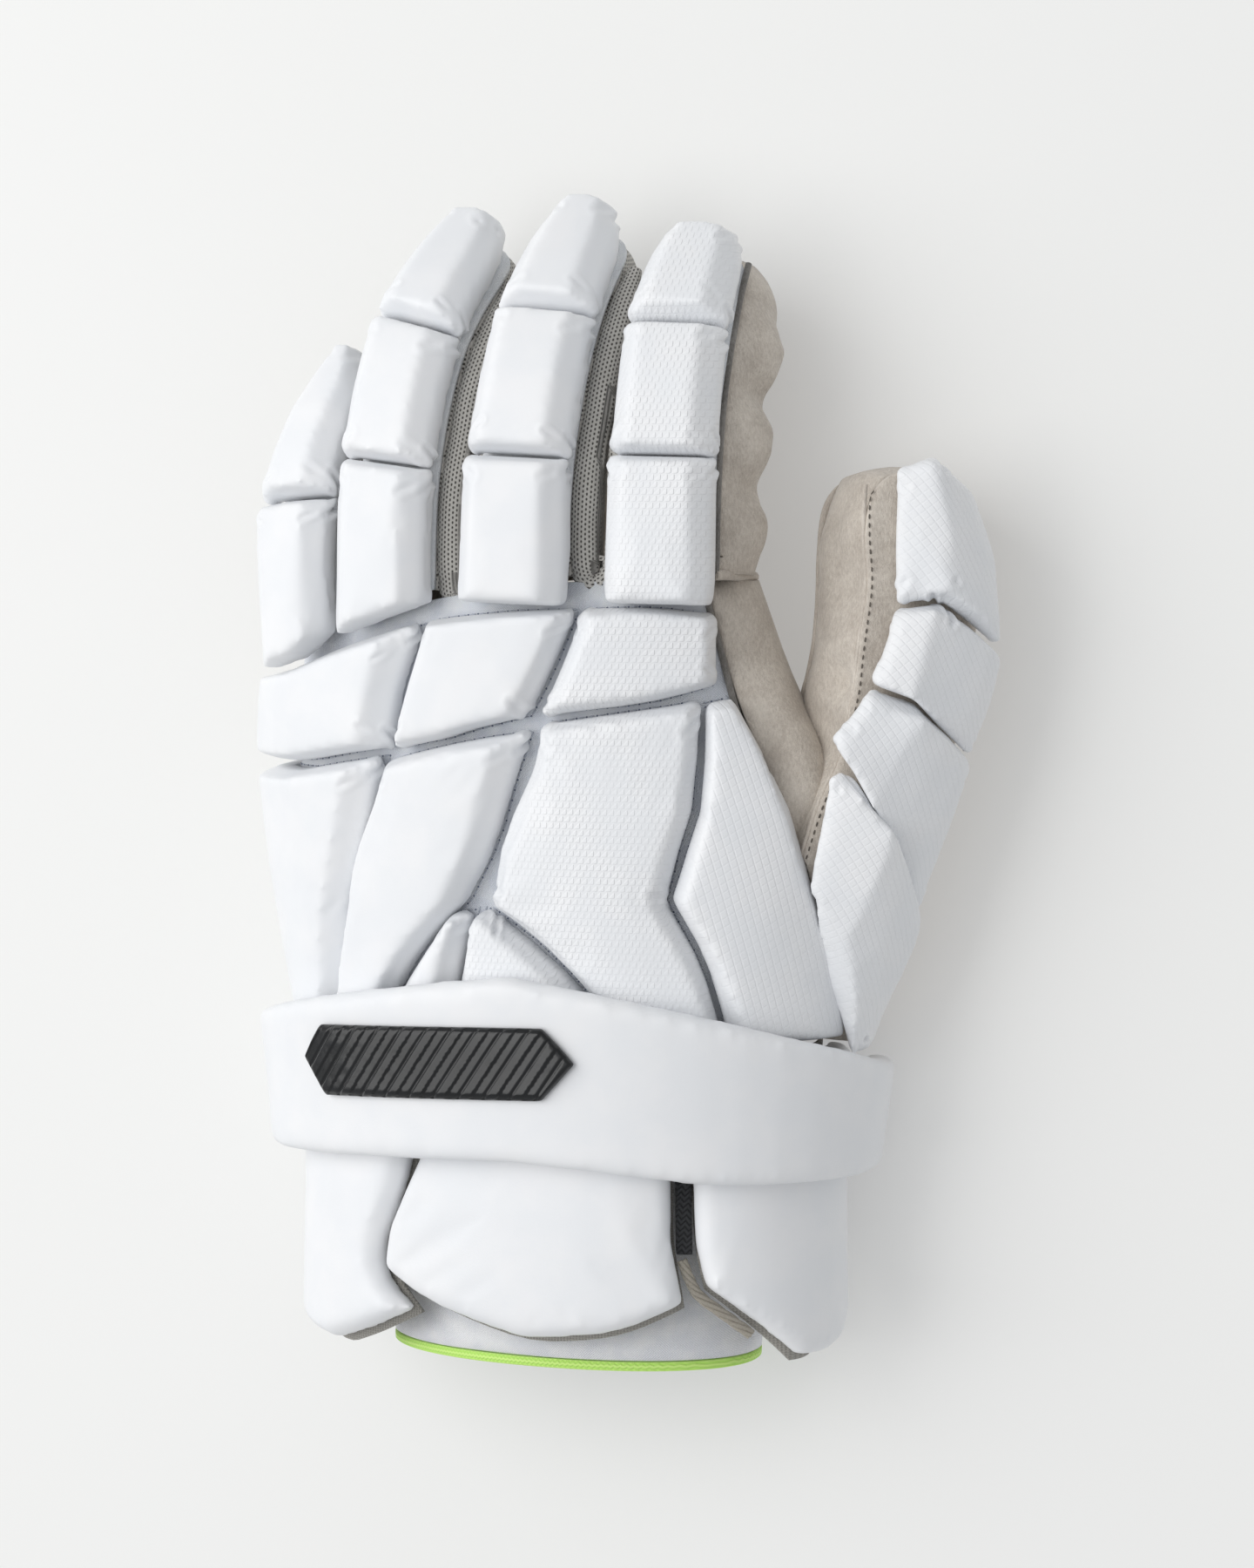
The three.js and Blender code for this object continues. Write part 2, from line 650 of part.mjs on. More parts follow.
// A solid box in a stall's space, a margin wider and deeper than the stall.
function stallCore(stall, margin, from) {
  return warpedBox([4, 14, 4], (a, b, c) => {
    const y = lerp(from, stall.length - 2, b);
    const x = (2 * a - 1) * (stallHalf(stall, y) + margin);
    return stall.space(x, y, (2 * c - 1) * (stall.depth / 2 + margin));
  });
}

// Hand and thumb are cut to each other: the thumb's pieces stop at the hand, which opens into the thumb.
function buildHandAndThumb() {
  const hand = solid(core(handPoint, SEAM, -0.02, 1, [48, 10]));
  const sideBlock = solid(sheet(handSpace, THUMB_SIDE_ROWS, -3, PAD_HEIGHT + 4 * SEAM, [10, 8]));
  const clear = hand.add(sideBlock);
  const hollow = solid(stallCore(THUMB, -FINGER_WALL - SEAM, 0));
  const far = 1 - SEAM / HAND_LENGTH;
  const backing = [[[0, 0], [SUEDE_TOP, 0]], [[0, far], [SUEDE_TOP, far]]];
  const palm = [[[SUEDE_TOP + 0.003, 0], [1.997, 0]], [[SUEDE_TOP + 0.003, far], [1.997, far]]];
  const shells = [
    ["hand_backing", sheet(handSpace, backing, -SHELL_WALL, 0, [24, 10]), "base"],
    ["palm", sheet(handSpace, palm, -SHELL_WALL, 0, [32, 10]), "suede"],
  ];
  for (const [name, geometry, colour] of shells) {
    add(name, geometryOf(largestBody(solid(geometry).subtract(hollow))), colour);
  }
  const padShape = {
    height: THUMB_PAD_HEIGHT,
    slope: THUMB_PAD_SLOPE,
    ends: FINGER_PAD_ENDS,
    ridge: THUMB_PAD_RIDGE,
    cells: [4, 6],
  };
  const pieces = [
    ["thumb_suede_wall", stallWall(THUMB, [0, 1], 24), "suede"],
    ["thumb_backing", stallStrip(THUMB, 1, 2), "suede"],
    ["thumb_palm_strip", stallStrip(THUMB, -1, 2), "suede"],
    ...stallPads(THUMB, THUMB_PADS, 2, padShape).map(([name, geometry]) => [name, geometry, "white"]),
  ];
  for (const [name, geometry, colour] of pieces) {
    add(name, geometryOf(largestBody(solid(geometry).subtract(clear))), colour);
  }
}

function buildHandPads() {
  for (const { name, rows } of [...HAND_PADS, { name: "thumb_side_pad", rows: THUMB_SIDE_ROWS }]) {
    const turns = rows.flat().map(([turn]) => turn);
    const cells = [Math.max(3, Math.ceil((Math.max(...turns) - Math.min(...turns)) * 18)), 2 * rows.length];
    const shape = { height: PAD_HEIGHT, slope: PAD_SLOPE, ends: PAD_ENDS, cells };
    add(name, pad(handSpace, rows, shape), "white");
  }
}

// The height above the bell of the strap's underside, which lies on the flaps below the wrist and on the pads
// above it.
function strapFoot(along) {
  const onFlaps = LINING_THICKNESS + FLAP_THICKNESS + 6 * SEAM;
  const onPads = PAD_HEIGHT + 6 * SEAM;
  return lerp(onFlaps, onPads, clamp(along / 0.36 + 1, 0, 1));
}

function buildCuff() {
  for (const { name, rows } of FLAPS) {
    const lined = [rows[0].map(([turn, along]) => [turn, along - 0.016]), ...rows.slice(1)];
    const top = SEAM + LINING_THICKNESS;
    const raised = (turn, along, height) => bellSpace(turn, along, height + top + SEAM);
    add(`flap_${name}_lining`, sheet(bellSpace, lined, SEAM, top, [10, 6]), "lining");
    add(`flap_${name}`, pad(raised, rows, { height: FLAP_THICKNESS, slope: 3, cells: [10, 6] }), "white");
  }
  const strap = warpedBox([28, 5, 2], (a, b, c) => {
    const draw = c === 0.5 ? 0 : 0.03;
    const [turn, along] = outlinePoint(STRAP_ROWS, lerp(draw / 5, 1 - draw / 5, a), lerp(draw, 1 - draw, b));
    return bellSpace(turn, along, strapFoot(along) + STRAP_THICKNESS * c);
  });
  add("strap", strap, "white");
  const strapTop = (along) => strapFoot(along) + STRAP_THICKNESS;
  const onStrap = (turn, along, height) => bellSpace(turn, along, strapTop(along) + height);
  add("badge", pad(onStrap, BADGE_ROWS, { height: BADGE_THICKNESS, slope: 1.6, cells: [14, 4] }), "black");
  add("tab", sheet(bellSpace, TAB_ROWS, 3, 3 + TAB_THICKNESS, [1, 6]), "webbing");
  const lacePoints = LACE_LINE.map(([turn, along]) => bellSpace(turn, along, 3.5));
  const { space, length } = lineSpace(lacePoints, 0);
  const cord = new THREE.CylinderGeometry(LACE_DIAMETER / 2, LACE_DIAMETER / 2, length, 8, 12);
  add("lace", warped(cord.translate(0, length / 2, 0), (x, y, z) => space(x, y, z)), "lace");
}

function buildSleeve() {
  const hem = 1 - BINDING_WIDTH / CUFF_LENGTH;
  const stops = [-hem, -0.8, -0.6, -0.4, -0.2, 0, SLEEVE_TUCK / CUFF_LENGTH];
  const outer = stops.map((along) => [0, along]);
  const inner = stops.map((along) => [-SLEEVE_WALL, along]).reverse();
  add("sleeve", ring(sleevePoint, [...outer, ...inner], 44), "base");
  const [foot, top] = [-1, -hem - SEAM / CUFF_LENGTH];
  const inside = -SLEEVE_WALL - 0.4;
  const bead = [[-0.7, foot - 0.006], [0, foot], [0, top], [inside, top], [inside, foot]];
  add("binding", ring(sleevePoint, bead, 44), "lime");
}

CASES.forEach(buildFinger);
buildWebs();
buildHandAndThumb();
buildHandPads();
buildCuff();
buildSleeve();

// The glove's frame: its origin is in the middle of its footprint, on the floor.
const bounds = new THREE.Box3().setFromObject(glove, true);
const middle = bounds.getCenter(new THREE.Vector3());
glove.position.set(-middle.x, -middle.y, -bounds.min.z);

export default glove;
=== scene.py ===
"""A padded lacrosse glove for the left hand, lying on its palm.

White leather pads sit on a white backing, the fingers' sides are grey mesh and suede, and a flared cuff of
three flaps under a broad strap covers an inner sleeve with a lime rim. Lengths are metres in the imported
model's frame: X runs to the thumb, Y to the fingertips and Z up from the floor.
"""

import logging
import math
from dataclasses import dataclass, field
from enum import Enum
from random import Random

import bmesh
import bpy
from mathutils import Matrix, Vector, noise
from mathutils.bvhtree import BVHTree


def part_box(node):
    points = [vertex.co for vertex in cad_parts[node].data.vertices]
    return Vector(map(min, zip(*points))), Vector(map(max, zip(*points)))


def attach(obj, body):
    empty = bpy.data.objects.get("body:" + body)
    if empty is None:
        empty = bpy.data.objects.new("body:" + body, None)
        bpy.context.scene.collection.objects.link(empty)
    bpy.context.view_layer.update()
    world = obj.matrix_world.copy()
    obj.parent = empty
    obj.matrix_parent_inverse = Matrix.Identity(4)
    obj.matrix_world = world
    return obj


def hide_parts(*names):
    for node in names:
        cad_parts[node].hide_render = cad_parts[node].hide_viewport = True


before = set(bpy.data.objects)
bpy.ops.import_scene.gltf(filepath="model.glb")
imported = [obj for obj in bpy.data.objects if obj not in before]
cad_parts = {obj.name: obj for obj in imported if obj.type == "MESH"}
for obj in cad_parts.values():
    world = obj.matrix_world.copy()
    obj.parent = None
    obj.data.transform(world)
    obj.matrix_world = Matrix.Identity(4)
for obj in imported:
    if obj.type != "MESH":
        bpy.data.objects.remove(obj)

LOG = logging.getLogger("lacrosse_glove")
MM = 0.001
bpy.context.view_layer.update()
UP = Vector((0.0, 0.0, 1.0))
Colour = tuple[float, float, float]
Amount = "float | Shade"
Socket = bpy.types.NodeSocket
Inputs = dict[str | int, object]


def socket_name(key: str) -> str:
    """Turn a keyword such as base_color into the socket's own name."""
    return key.replace("_", " ").title().replace("Ior", "IOR")


class Shade:
    """A number that varies over a surface: arithmetic on it adds Math nodes."""

    def __init__(self, recipe: "Recipe", socket: Socket) -> None:
        """Keep the recipe that the number belongs to and the socket that gives it."""
        self.recipe = recipe
        self.socket = socket

    def maths(self, operation: str, *inputs: Amount) -> "Shade":
        """Return the result of a Math node with these inputs."""
        values = dict(enumerate(inputs))
        return self.recipe.shade("ShaderNodeMath", {"operation": operation}, values)

    def __add__(self, other: Amount) -> "Shade":
        """Add."""
        return self.maths("ADD", self, other)

    __radd__ = __add__

    def __sub__(self, other: Amount) -> "Shade":
        """Subtract."""
        return self.maths("SUBTRACT", self, other)

    def __rsub__(self, other: Amount) -> "Shade":
        """Subtract this from a number."""
        return self.maths("SUBTRACT", other, self)

    def __mul__(self, other: Amount) -> "Shade":
        """Multiply."""
        return self.maths("MULTIPLY", self, other)

    __rmul__ = __mul__

    def __truediv__(self, other: Amount) -> "Shade":
        """Divide."""
        return self.maths("DIVIDE", self, other)

    def fraction(self) -> "Shade":
        """Keep what follows the decimal point."""
        return self.maths("FRACT", self)

    def floor(self) -> "Shade":
        """Round down."""
        return self.maths("FLOOR", self)

    def size(self) -> "Shade":
        """Drop the sign."""
        return self.maths("ABSOLUTE", self)

    def turns(self, length: float) -> "Shade":
        """Turn a distance into the angle that it makes in waves of a length."""
        return self * (2 * math.pi / length)

    def wave(self) -> "Shade":
        """Take the sine."""
        return self.maths("SINE", self)

    def root(self) -> "Shade":
        """Take the square root."""
        return self.maths("SQRT", self)

    def higher(self, other: Amount) -> "Shade":
        """Take the larger of two."""
        return self.maths("MAXIMUM", self, other)

    def step(self, low: float, high: float) -> "Shade":
        """Rise smoothly from 0 at low to 1 at high, or fall where low is the larger.

        Args:
            low: where the result is 0.
            high: where the result is 1.

        Returns:
            The smooth step.
        """
        if low > high:
            return 1 - self.step(high, low)
        settings = {"interpolation_type": "SMOOTHSTEP"}
        values = {"Value": self, "From Min": low, "From Max": high}
        return self.recipe.shade("ShaderNodeMapRange", settings, values)


class Recipe:
    """A material in the making: a Principled surface and the nodes that feed it."""

    def __init__(self, name: str, **constants: float | Colour) -> None:
        """Start a material.

        Args:
            name: the material's name.
            constants: values set on the surface's own sockets, with _ for a space.
        """
        material = bpy.data.materials.new(name)
        material.use_nodes = True
        self.tree = material.node_tree
        self.tree.nodes.clear()
        values = {socket_name(key): value for key, value in constants.items()}
        self.surface = self.node("ShaderNodeBsdfPrincipled", {}, values)
        self.node("ShaderNodeOutputMaterial", {}, {"Surface": self.surface.outputs[0]})

    def give(self, socket: Socket, value: object) -> None:
        """Set a socket to a constant, or link a shade or another socket to it.

        Args:
            socket: the input.
            value: a number, a colour or its six digits, a vector, a Shade or an output socket.
        """
        if isinstance(value, Shade):
            value = value.socket
        if isinstance(value, str):
            value = linear(value)
        if isinstance(value, Socket):
            self.tree.links.new(value, socket)
        elif isinstance(value, tuple) and socket.type == "RGBA":
            socket.default_value = (*value, 1.0)
        else:
            socket.default_value = value

    def node(self, kind: str, settings: dict[str, object], values: Inputs) -> bpy.types.Node:
        """Add a node.

        Args:
            kind: its type.
            settings: its own settings, set first.
            values: what its inputs get, by name or number.

        Returns:
            The node.
        """
        node = self.tree.nodes.new(kind)
        for key, value in settings.items():
            setattr(node, key, value)
        for key, value in values.items():
            self.give(node.inputs[key], value)
        return node

    def shade(self, kind: str, settings: dict[str, object], values: Inputs) -> Shade:
        """Add a node and take its first output as a number."""
        return Shade(self, self.node(kind, settings, values).outputs[0])

    def place(self, scale: Colour = (1.0, 1.0, 1.0), turn: Colour = (0.0, 0.0, 0.0)) -> Socket:
        """Give the object's own coordinates, stretched and turned.

        Args:
            scale: the stretch along each axis.
            turn: the turn round each axis in degrees.

        Returns:
            The point's socket.
        """
        point = self.node("ShaderNodeTexCoord", {}, {}).outputs["Object"]
        angles = tuple(math.radians(angle) for angle in turn)
        values = {"Vector": point, "Scale": scale, "Rotation": angles}
        return self.node("ShaderNodeMapping", {}, values).outputs[0]

    def cloth_place(self) -> Socket:
        """Give the piece's own UV map, which is in metres along its cloth."""
        return self.node("ShaderNodeUVMap", {"uv_map": "cloth"}, {}).outputs[0]

    def axes(self, point: Socket) -> tuple[Shade, Shade, Shade]:
        """Split a point into its three numbers."""
        outputs = self.node("ShaderNodeSeparateXYZ", {}, {0: point}).outputs
        return Shade(self, outputs[0]), Shade(self, outputs[1]), Shade(self, outputs[2])

    def grain(self, point: Socket, pitch: float, detail: float = 2.0, rough: float = 0.5) -> Shade:
        """Give a noise around 0.5 with clouds as large as the pitch, and finer, rougher layers in them."""
        values = {"Vector": point, "Scale": 1 / pitch, "Detail": detail, "Roughness": rough}
        return self.shade("ShaderNodeTexNoise", {}, values)

    def cells(self, point: Socket, pitch: float) -> Shade:
        """Give the distance from the middles of scattered cells, in cells."""
        return self.shade("ShaderNodeTexVoronoi", {}, {"Vector": point, "Scale": 1 / pitch})

    def tint(self, share: Amount, low: object, high: object) -> Socket:
        """Mix two colours: a share of 0 gives the first and 1 the second."""
        settings = {"data_type": "RGBA", "clamp_factor": True}
        return self.node("ShaderNodeMix", settings, {0: share, 6: low, 7: high}).outputs[2]

    def relief(self, height: Shade, depth: float) -> None:
        """Raise the surface's shading by a height from 0 to 1.

        Args:
            height: the relief.
            depth: what 1 stands for, in metres.
        """
        values = {"Height": height, "Strength": 1.0, "Distance": depth}
        bump = self.node("ShaderNodeBump", {}, values)
        self.give(self.surface.inputs["Normal"], bump.outputs[0])

    def paint(self, **varied: object) -> None:
        """Feed the surface's sockets, named with _ for a space."""
        for key, value in varied.items():
            self.give(self.surface.inputs[socket_name(key)], value)


def linear(code: str) -> Colour:
    """Turn a colour written as six hexadecimal digits into the linear light that shaders use.

    Args:
        code: the colour, as in "a39a90".

    Returns:
        Its red, green and blue.
    """
    parts = [int(code[i : i + 2], 16) / 255 for i in (0, 2, 4)]
    red, green, blue = (p / 12.92 if p <= 0.04045 else ((p + 0.055) / 1.055) ** 2.4 for p in parts)
    return (red, green, blue)


@dataclass(frozen=True)
class Finish:
    """A finish: the record's slot it belongs to and how its material is made."""

    name: str
    slot: str

    def make(self) -> None:
        """Make the material."""
        raise NotImplementedError

    def material(self) -> bpy.types.Material:
        """Give the material, made the first time that it is asked for.

        Returns:
            The material.
        """
        if self.name not in bpy.data.materials:
            self.make()
        return bpy.data.materials[self.name]

    def dress(self, piece: bpy.types.Object) -> None:
        """Put the material on a piece.

        Args:
            piece: the piece to be dressed.
        """
        piece.data.materials.clear()
        piece.data.materials.append(self.material())


class Emboss(Enum):
    """What is pressed into the leather."""

    PLAIN = "plain"
    TEETH = "teeth"
    LATTICE = "lattice"


@dataclass(frozen=True)
class Leather(Finish):
    """White synthetic leather: satin, a little cool, with a faint pebble and perhaps a pressed pattern."""

    emboss: Emboss = Emboss.PLAIN
    turn: Colour = (0.0, 0.0, 0.0)
    lit: str = "f0f1f3"
    shaded: str = "eceef1"
    pitch: float = 1.9 * MM

    def teeth(self, recipe: Recipe) -> Shade:
        """Give rows of small pressed triangles.

        Args:
            recipe: the material.

        Returns:
            Their height, 0 to 1.
        """
        across, along, _ = recipe.axes(recipe.place(turn=self.turn))
        row = along / self.pitch
        column = across / self.pitch + row.floor() * 0.5
        u, v = column.fraction(), row.fraction()
        slant = (u - v).step(-0.15, 0.15)
        rim = (u * (1 - u) * v * (1 - v) * 16).step(0.0, 0.35)
        return slant * (0.3 + 0.7 * u) * rim

    def lattice(self, recipe: Recipe) -> Shade:
        """Give a diagonal lattice of fine grooves.

        Args:
            recipe: the material.

        Returns:
            Its height, 0 to 1.
        """
        across, along, _ = recipe.axes(recipe.place(turn=self.turn))
        lines = [((across + way * along) / self.pitch).fraction() - 0.5 for way in (0.75, -0.75)]
        first, second = (line.size().step(0.02, 0.16) for line in lines)
        return first * (0.5 + 0.5 * second)

    def make(self) -> None:
        """Make the leather."""
        recipe = Recipe(self.name, roughness=0.42, specular_ior_level=0.42, coat_roughness=0.35)
        point = recipe.place()
        pebble = recipe.cells(point, 0.55 * MM).step(0.75, 0.15)
        drift = recipe.grain(point, 16 * MM, 3.0)
        colour = recipe.tint(drift.step(0.35, 0.7), self.shaded, self.lit)
        height = pebble * 0.03 + drift * 0.12
        if self.emboss is Emboss.TEETH:
            height = height + self.teeth(recipe) * (drift * 1.1 - 0.15).higher(0.05)
        elif self.emboss is Emboss.LATTICE:
            height = height + self.lattice(recipe) * (0.15 + 0.35 * drift)
        recipe.relief(height, 0.22 * MM)
        gloss = 0.36 + 0.1 * recipe.grain(point, 5 * MM) + 0.05 * pebble
        recipe.paint(base_color=colour, roughness=gloss, coat_weight=0.12)


@dataclass(frozen=True)
class Backing(Finish):
    """The flat white backing in the grooves: fine cloth-backed leather, duller than the pads; its cooler,
    darker tint is painted shade.
    """

    # Darker and bluer than the pads' white: painted shade of the grooves that this backing lines.
    light: str = "ebeef2"
    dark: str = "dde1e9"

    def make(self) -> None:
        """Make the backing."""
        recipe = Recipe(self.name, roughness=0.6, specular_ior_level=0.3)
        point = recipe.place()
        across, along, _ = recipe.axes(point)
        thread = across.turns(0.7 * MM).wave() * along.turns(0.7 * MM).wave()
        drift = recipe.grain(point, 7 * MM, 4.0)
        colour = recipe.tint(drift.step(0.35, 0.65), self.dark, self.light)
        recipe.relief(thread * 0.25 + drift * 0.7, 0.25 * MM)
        recipe.paint(base_color=colour, roughness=0.55 + 0.15 * drift)


@dataclass(frozen=True)
class Suede(Finish):
    """Warm grey suede: brushed, mottled and rough."""

    light: str = "e6ded3"
    dark: str = "b9afa4"
    nap: float = 0.7 * MM

    def make(self) -> None:
        """Make the suede."""
        sheen = {"sheen_weight": 0.35, "sheen_roughness": 0.45}
        recipe = Recipe(self.name, roughness=0.92, specular_ior_level=0.12, **sheen)
        point = recipe.place()
        strokes = recipe.place(scale=(1.0, 0.45, 1.0), turn=(0.0, 0.0, 24.0))
        fuzz = recipe.grain(strokes, self.nap, 4.0, 0.7)
        fine = recipe.grain(point, 0.28 * MM, 2.0, 0.6)
        clouds = recipe.grain(point, 13 * MM, 3.0, 0.55)
        share = fuzz * 0.55 + clouds * 0.5 + fine * 0.25 - 0.18
        colour = recipe.tint(share.step(0.25, 0.72), self.dark, self.light)
        recipe.relief(fuzz * 0.6 + fine * 0.25 + clouds * 1.6, 0.55 * MM)
        recipe.paint(base_color=colour, roughness=0.86 + 0.12 * fine)


@dataclass(frozen=True)
class AirMesh(Finish):
    """Grey spacer mesh: staggered holes between fine threads, read along the cloth, each hole painted dark
    as shade.
    """

    thread: str = "dedbd5"
    shade: str = "b7b4ae"
    # The holes' dark colour is painted shade in the openings.
    hole: str = "605e59"
    pitch: float = 1.35 * MM

    def make(self) -> None:
        """Make the mesh."""
        recipe = Recipe(self.name, roughness=0.85, specular_ior_level=0.2, sheen_weight=0.2)
        across, along, _ = recipe.axes(recipe.cloth_place())
        row = along / (self.pitch * 0.82)
        column = across / self.pitch + row.floor() * 0.5
        u, v = column.fraction() - 0.5, row.fraction() - 0.5
        reach = (u * u + v * v * 1.5).root()
        hole = reach.step(0.36, 0.2)
        fibre = (across.turns(0.34 * MM) + along * 900.0).wave() * 0.5 + 0.5
        drift = recipe.grain(recipe.place(), 9 * MM, 3.0)
        cloth = recipe.tint(fibre * 0.45 + drift * 0.6, self.shade, self.thread)
        # Painted shade: the hole spots take the dark colour.
        colour = recipe.tint(hole, cloth, self.hole)
        recipe.relief((1 - hole) * 0.8 + fibre * 0.2, 0.35 * MM)
        recipe.paint(base_color=colour, roughness=0.75 + 0.2 * hole)


@dataclass(frozen=True)
class Knit(Finish):
    """Grey knitted lining: fine ribs with a slightly fuzzy face."""

    light: str = "bcb9b2"
    dark: str = "8a8781"
    rib: float = 0.9 * MM

    def make(self) -> None:
        """Make the lining."""
        recipe = Recipe(self.name, roughness=0.9, specular_ior_level=0.15, sheen_weight=0.3)
        point = recipe.place()
        across, along, _ = recipe.axes(point)
        ribs = across.turns(self.rib).wave() * 0.5 + 0.5
        loops = (along.turns(self.rib * 0.8) + ribs * 2.0).wave() * 0.5 + 0.5
        fuzz = recipe.grain(point, 0.5 * MM, 3.0)
        share = ribs * 0.35 + loops * 0.35 + fuzz * 0.4 - 0.1
        colour = recipe.tint(share, self.dark, self.light)
        recipe.relief(ribs * 0.4 + loops * 0.3 + fuzz * 0.5, 0.3 * MM)
        recipe.paint(base_color=colour, roughness=0.82 + 0.15 * fuzz)


@dataclass(frozen=True)
class Twill(Finish):
    """Close-woven tape with slanting threads, read on the object's own axes."""

    light: str = "3a3b3d"
    dark: str = "131416"
    pitch: float = 1.1 * MM
    gloss: float = 0.7
    slant: float = 0.8

    def make(self) -> None:
        """Make the tape."""
        recipe = Recipe(self.name, roughness=self.gloss, specular_ior_level=0.3, sheen_weight=0.15)
        point = recipe.place()
        across, along, up = recipe.axes(point)
        side = (across + up) / self.pitch
        fold = (side.fraction() - 0.5).size()
        ridge = ((along / self.pitch + fold * self.slant * 2).fraction() - 0.5).size().step(0.5, 0.1)
        fuzz = recipe.grain(point, 0.35 * MM, 2.0)
        share = ridge * 0.7 + fuzz * 0.4 - 0.1
        colour = recipe.tint(share, self.dark, self.light)
        recipe.relief(ridge * 0.8 + fuzz * 0.25, 0.3 * MM)
        recipe.paint(base_color=colour, roughness=self.gloss + 0.1 * fuzz)


@dataclass(frozen=True)
class Yarn(Finish):
    """Twisted thread or lace, with fine slanting fibres."""

    light: str = "d6d0c4"
    dark: str = "8d867a"
    gloss: float = 0.75

    def make(self) -> None:
        """Make the yarn."""
        recipe = Recipe(self.name, roughness=self.gloss, specular_ior_level=0.3)
        point = recipe.place()
        across, along, up = recipe.axes(point)
        fibre = (across * 1.3 + along - up).turns(0.32 * MM).wave() * 0.5 + 0.5
        fuzz = recipe.grain(point, 0.6 * MM, 3.0)
        colour = recipe.tint(fibre * 0.5 + fuzz * 0.6 - 0.1, self.dark, self.light)
        recipe.relief(fibre * 0.6 + fuzz * 0.4, 0.12 * MM)
        recipe.paint(base_color=colour, roughness=self.gloss + 0.1 * fuzz)


@dataclass(frozen=True)
class GlossPlate(Finish):
    """Moulded black plastic with a clear gloss and a faint ripple."""

    light: str = "1b1d20"
    dark: str = "08090a"

    def make(self) -> None:
        """Make the plastic."""
        recipe = Recipe(self.name, roughness=0.16, specular_ior_level=0.35, coat_roughness=0.08)
        point = recipe.place()
        ripple = recipe.grain(point, 6 * MM, 2.0)
        scuff = recipe.grain(point, 1.2 * MM, 5.0)
        colour = recipe.tint(ripple, self.dark, self.light)
        recipe.relief(ripple * 0.8 + scuff * 0.05, 0.25 * MM)
        recipe.paint(base_color=colour, roughness=0.16 + 0.14 * scuff, coat_weight=0.3)


@dataclass(frozen=True)
class Floor(Finish):
    """The plain pale floor, which also glows evenly: painted light that lifts the glove's cast shadow on
    it.
    """

    light: str = "d4d4d3"
    dark: str = "cecfcd"

    def make(self) -> None:
        """Make the floor's matt paint and its even glow, painted light that lifts the shadow on the floor.
        """
        # Painted light: an even glow that fills the glove's shadow on the floor and lights the glove from
        # below.
        painted_light_glow = {"emission_color": (1.0, 1.0, 1.0), "emission_strength": 0.26}
        recipe = Recipe(self.name, roughness=0.9, specular_ior_level=0.05, **painted_light_glow)
        drift = recipe.grain(recipe.place(), 0.4, 2.0)
        recipe.paint(base_color=recipe.tint(drift, self.dark, self.light))


SMOOTH = Leather("smooth_white_leather", "pad")
TOOTHED = Leather("toothed_white_leather", "pad", Emboss.TEETH)
THUMB_LATTICE = Leather(
    "lattice_white_leather", "pad", Emboss.LATTICE, turn=(0.0, -52.0, 8.0), pitch=2.2 * MM
)
SIDE_LATTICE = Leather(
    "side_lattice_white_leather", "pad", Emboss.LATTICE, turn=(0.0, -38.0, 20.0), pitch=2.6 * MM
)
# The grooves keep the backing's darker, bluer colours: painted groove shade.
GROOVES_PAINTED_SHADE = Backing("white_backing", "base")
FINGER_BACKING = Backing("white_finger_backing", "base", light="eff1f3", dark="e7eaee")
SUEDE = Suede("warm_grey_suede", "suede")
MESH = AirMesh("grey_spacer_mesh", "mesh")
LINING = Knit("grey_knit_lining", "lining")
SLEEVE = Backing("white_sleeve_cloth", "sleeve", light="f0f1f3", dark="e6e8ed")
BINDING = Twill("lime_binding_tape", "binding", light="dcff92", dark="bdf56c", pitch=1.4 * MM, slant=0.3)
BADGE = GlossPlate("gloss_black_plate", "badge")
WEBBING = Twill("black_webbing", "tab", pitch=1.6 * MM, gloss=0.78)
LACE = Yarn("sand_lace", "lace")
PIPING = Suede("dark_grey_piping", "suede", light="9a9793", dark="6c6965")
WHITE_THREAD = Yarn("white_thread", "base", light="eef0f4", dark="c3cbdb")
# Dark blue-grey beads at the needle holes: painted shade inside the holes.
STITCH_HOLE_SHADE = Yarn("stitch_hole", "base", light="949db2", dark="6a7389")
GREY_THREAD = Yarn("grey_thread", "suede", light="8a837a", dark="655f58")
FLOOR = Floor("pale_floor", "")


# Places repeated from the part's source, in its own millimetres before it is centred.
SOURCE_SHIFT = Vector((-9.14, -71.21, 0.0))
LACE_KNOTS = (
    (38.2, -60.0, 62.0), (40.4, -65.3, 61.8), (43.1, -69.7, 61.3), (50.1, -75.3, 58.9), (56.4, -80.5, 56.0),
)
SUEDE_EDGE = (
    (41.9, 124.2, 52.7), (45.6, 108.8, 51.8), (48.8, 96.1, 51.1), (52.9, 83.3, 50.5), (58.3, 70.5, 50.0),
)
THUMB_SEAM = (
    (63.0, 34.9, 49.7), (68.0, 50.2, 50.3), (72.8, 65.5, 50.7), (77.6, 81.1, 50.8), (82.2, 96.5, 50.5),
    (84.8, 111.8, 50.0), (85.0, 127.7, 49.3), (85.3, 144.3, 48.1), (85.5, 153.9, 47.2),
)
INDEX_HEM = (
    (46.3, 129.2, 59.0), (48.2, 129.1, 52.0), (49.3, 128.8, 45.0), (49.6, 128.5, 38.0), (48.6, 128.3, 31.5),
)
PALM_BULGES = (((65.0, 86.0, 44.0), 13, 7), ((67.0, 70.0, 45.0), 13, 7))
THUMB_HOLLOWS = (
    ((74.7, 99.9, 47.5), 6, 6),
    ((76.5, 127.0, 46.0), 10, 4),
    ((76.0, 110.0, 48.0), 4, -2),
    ((69.0, 84.0, 48.0), 11, 6),
)
THREE_BONES = (0.35, 0.34, 0.31)
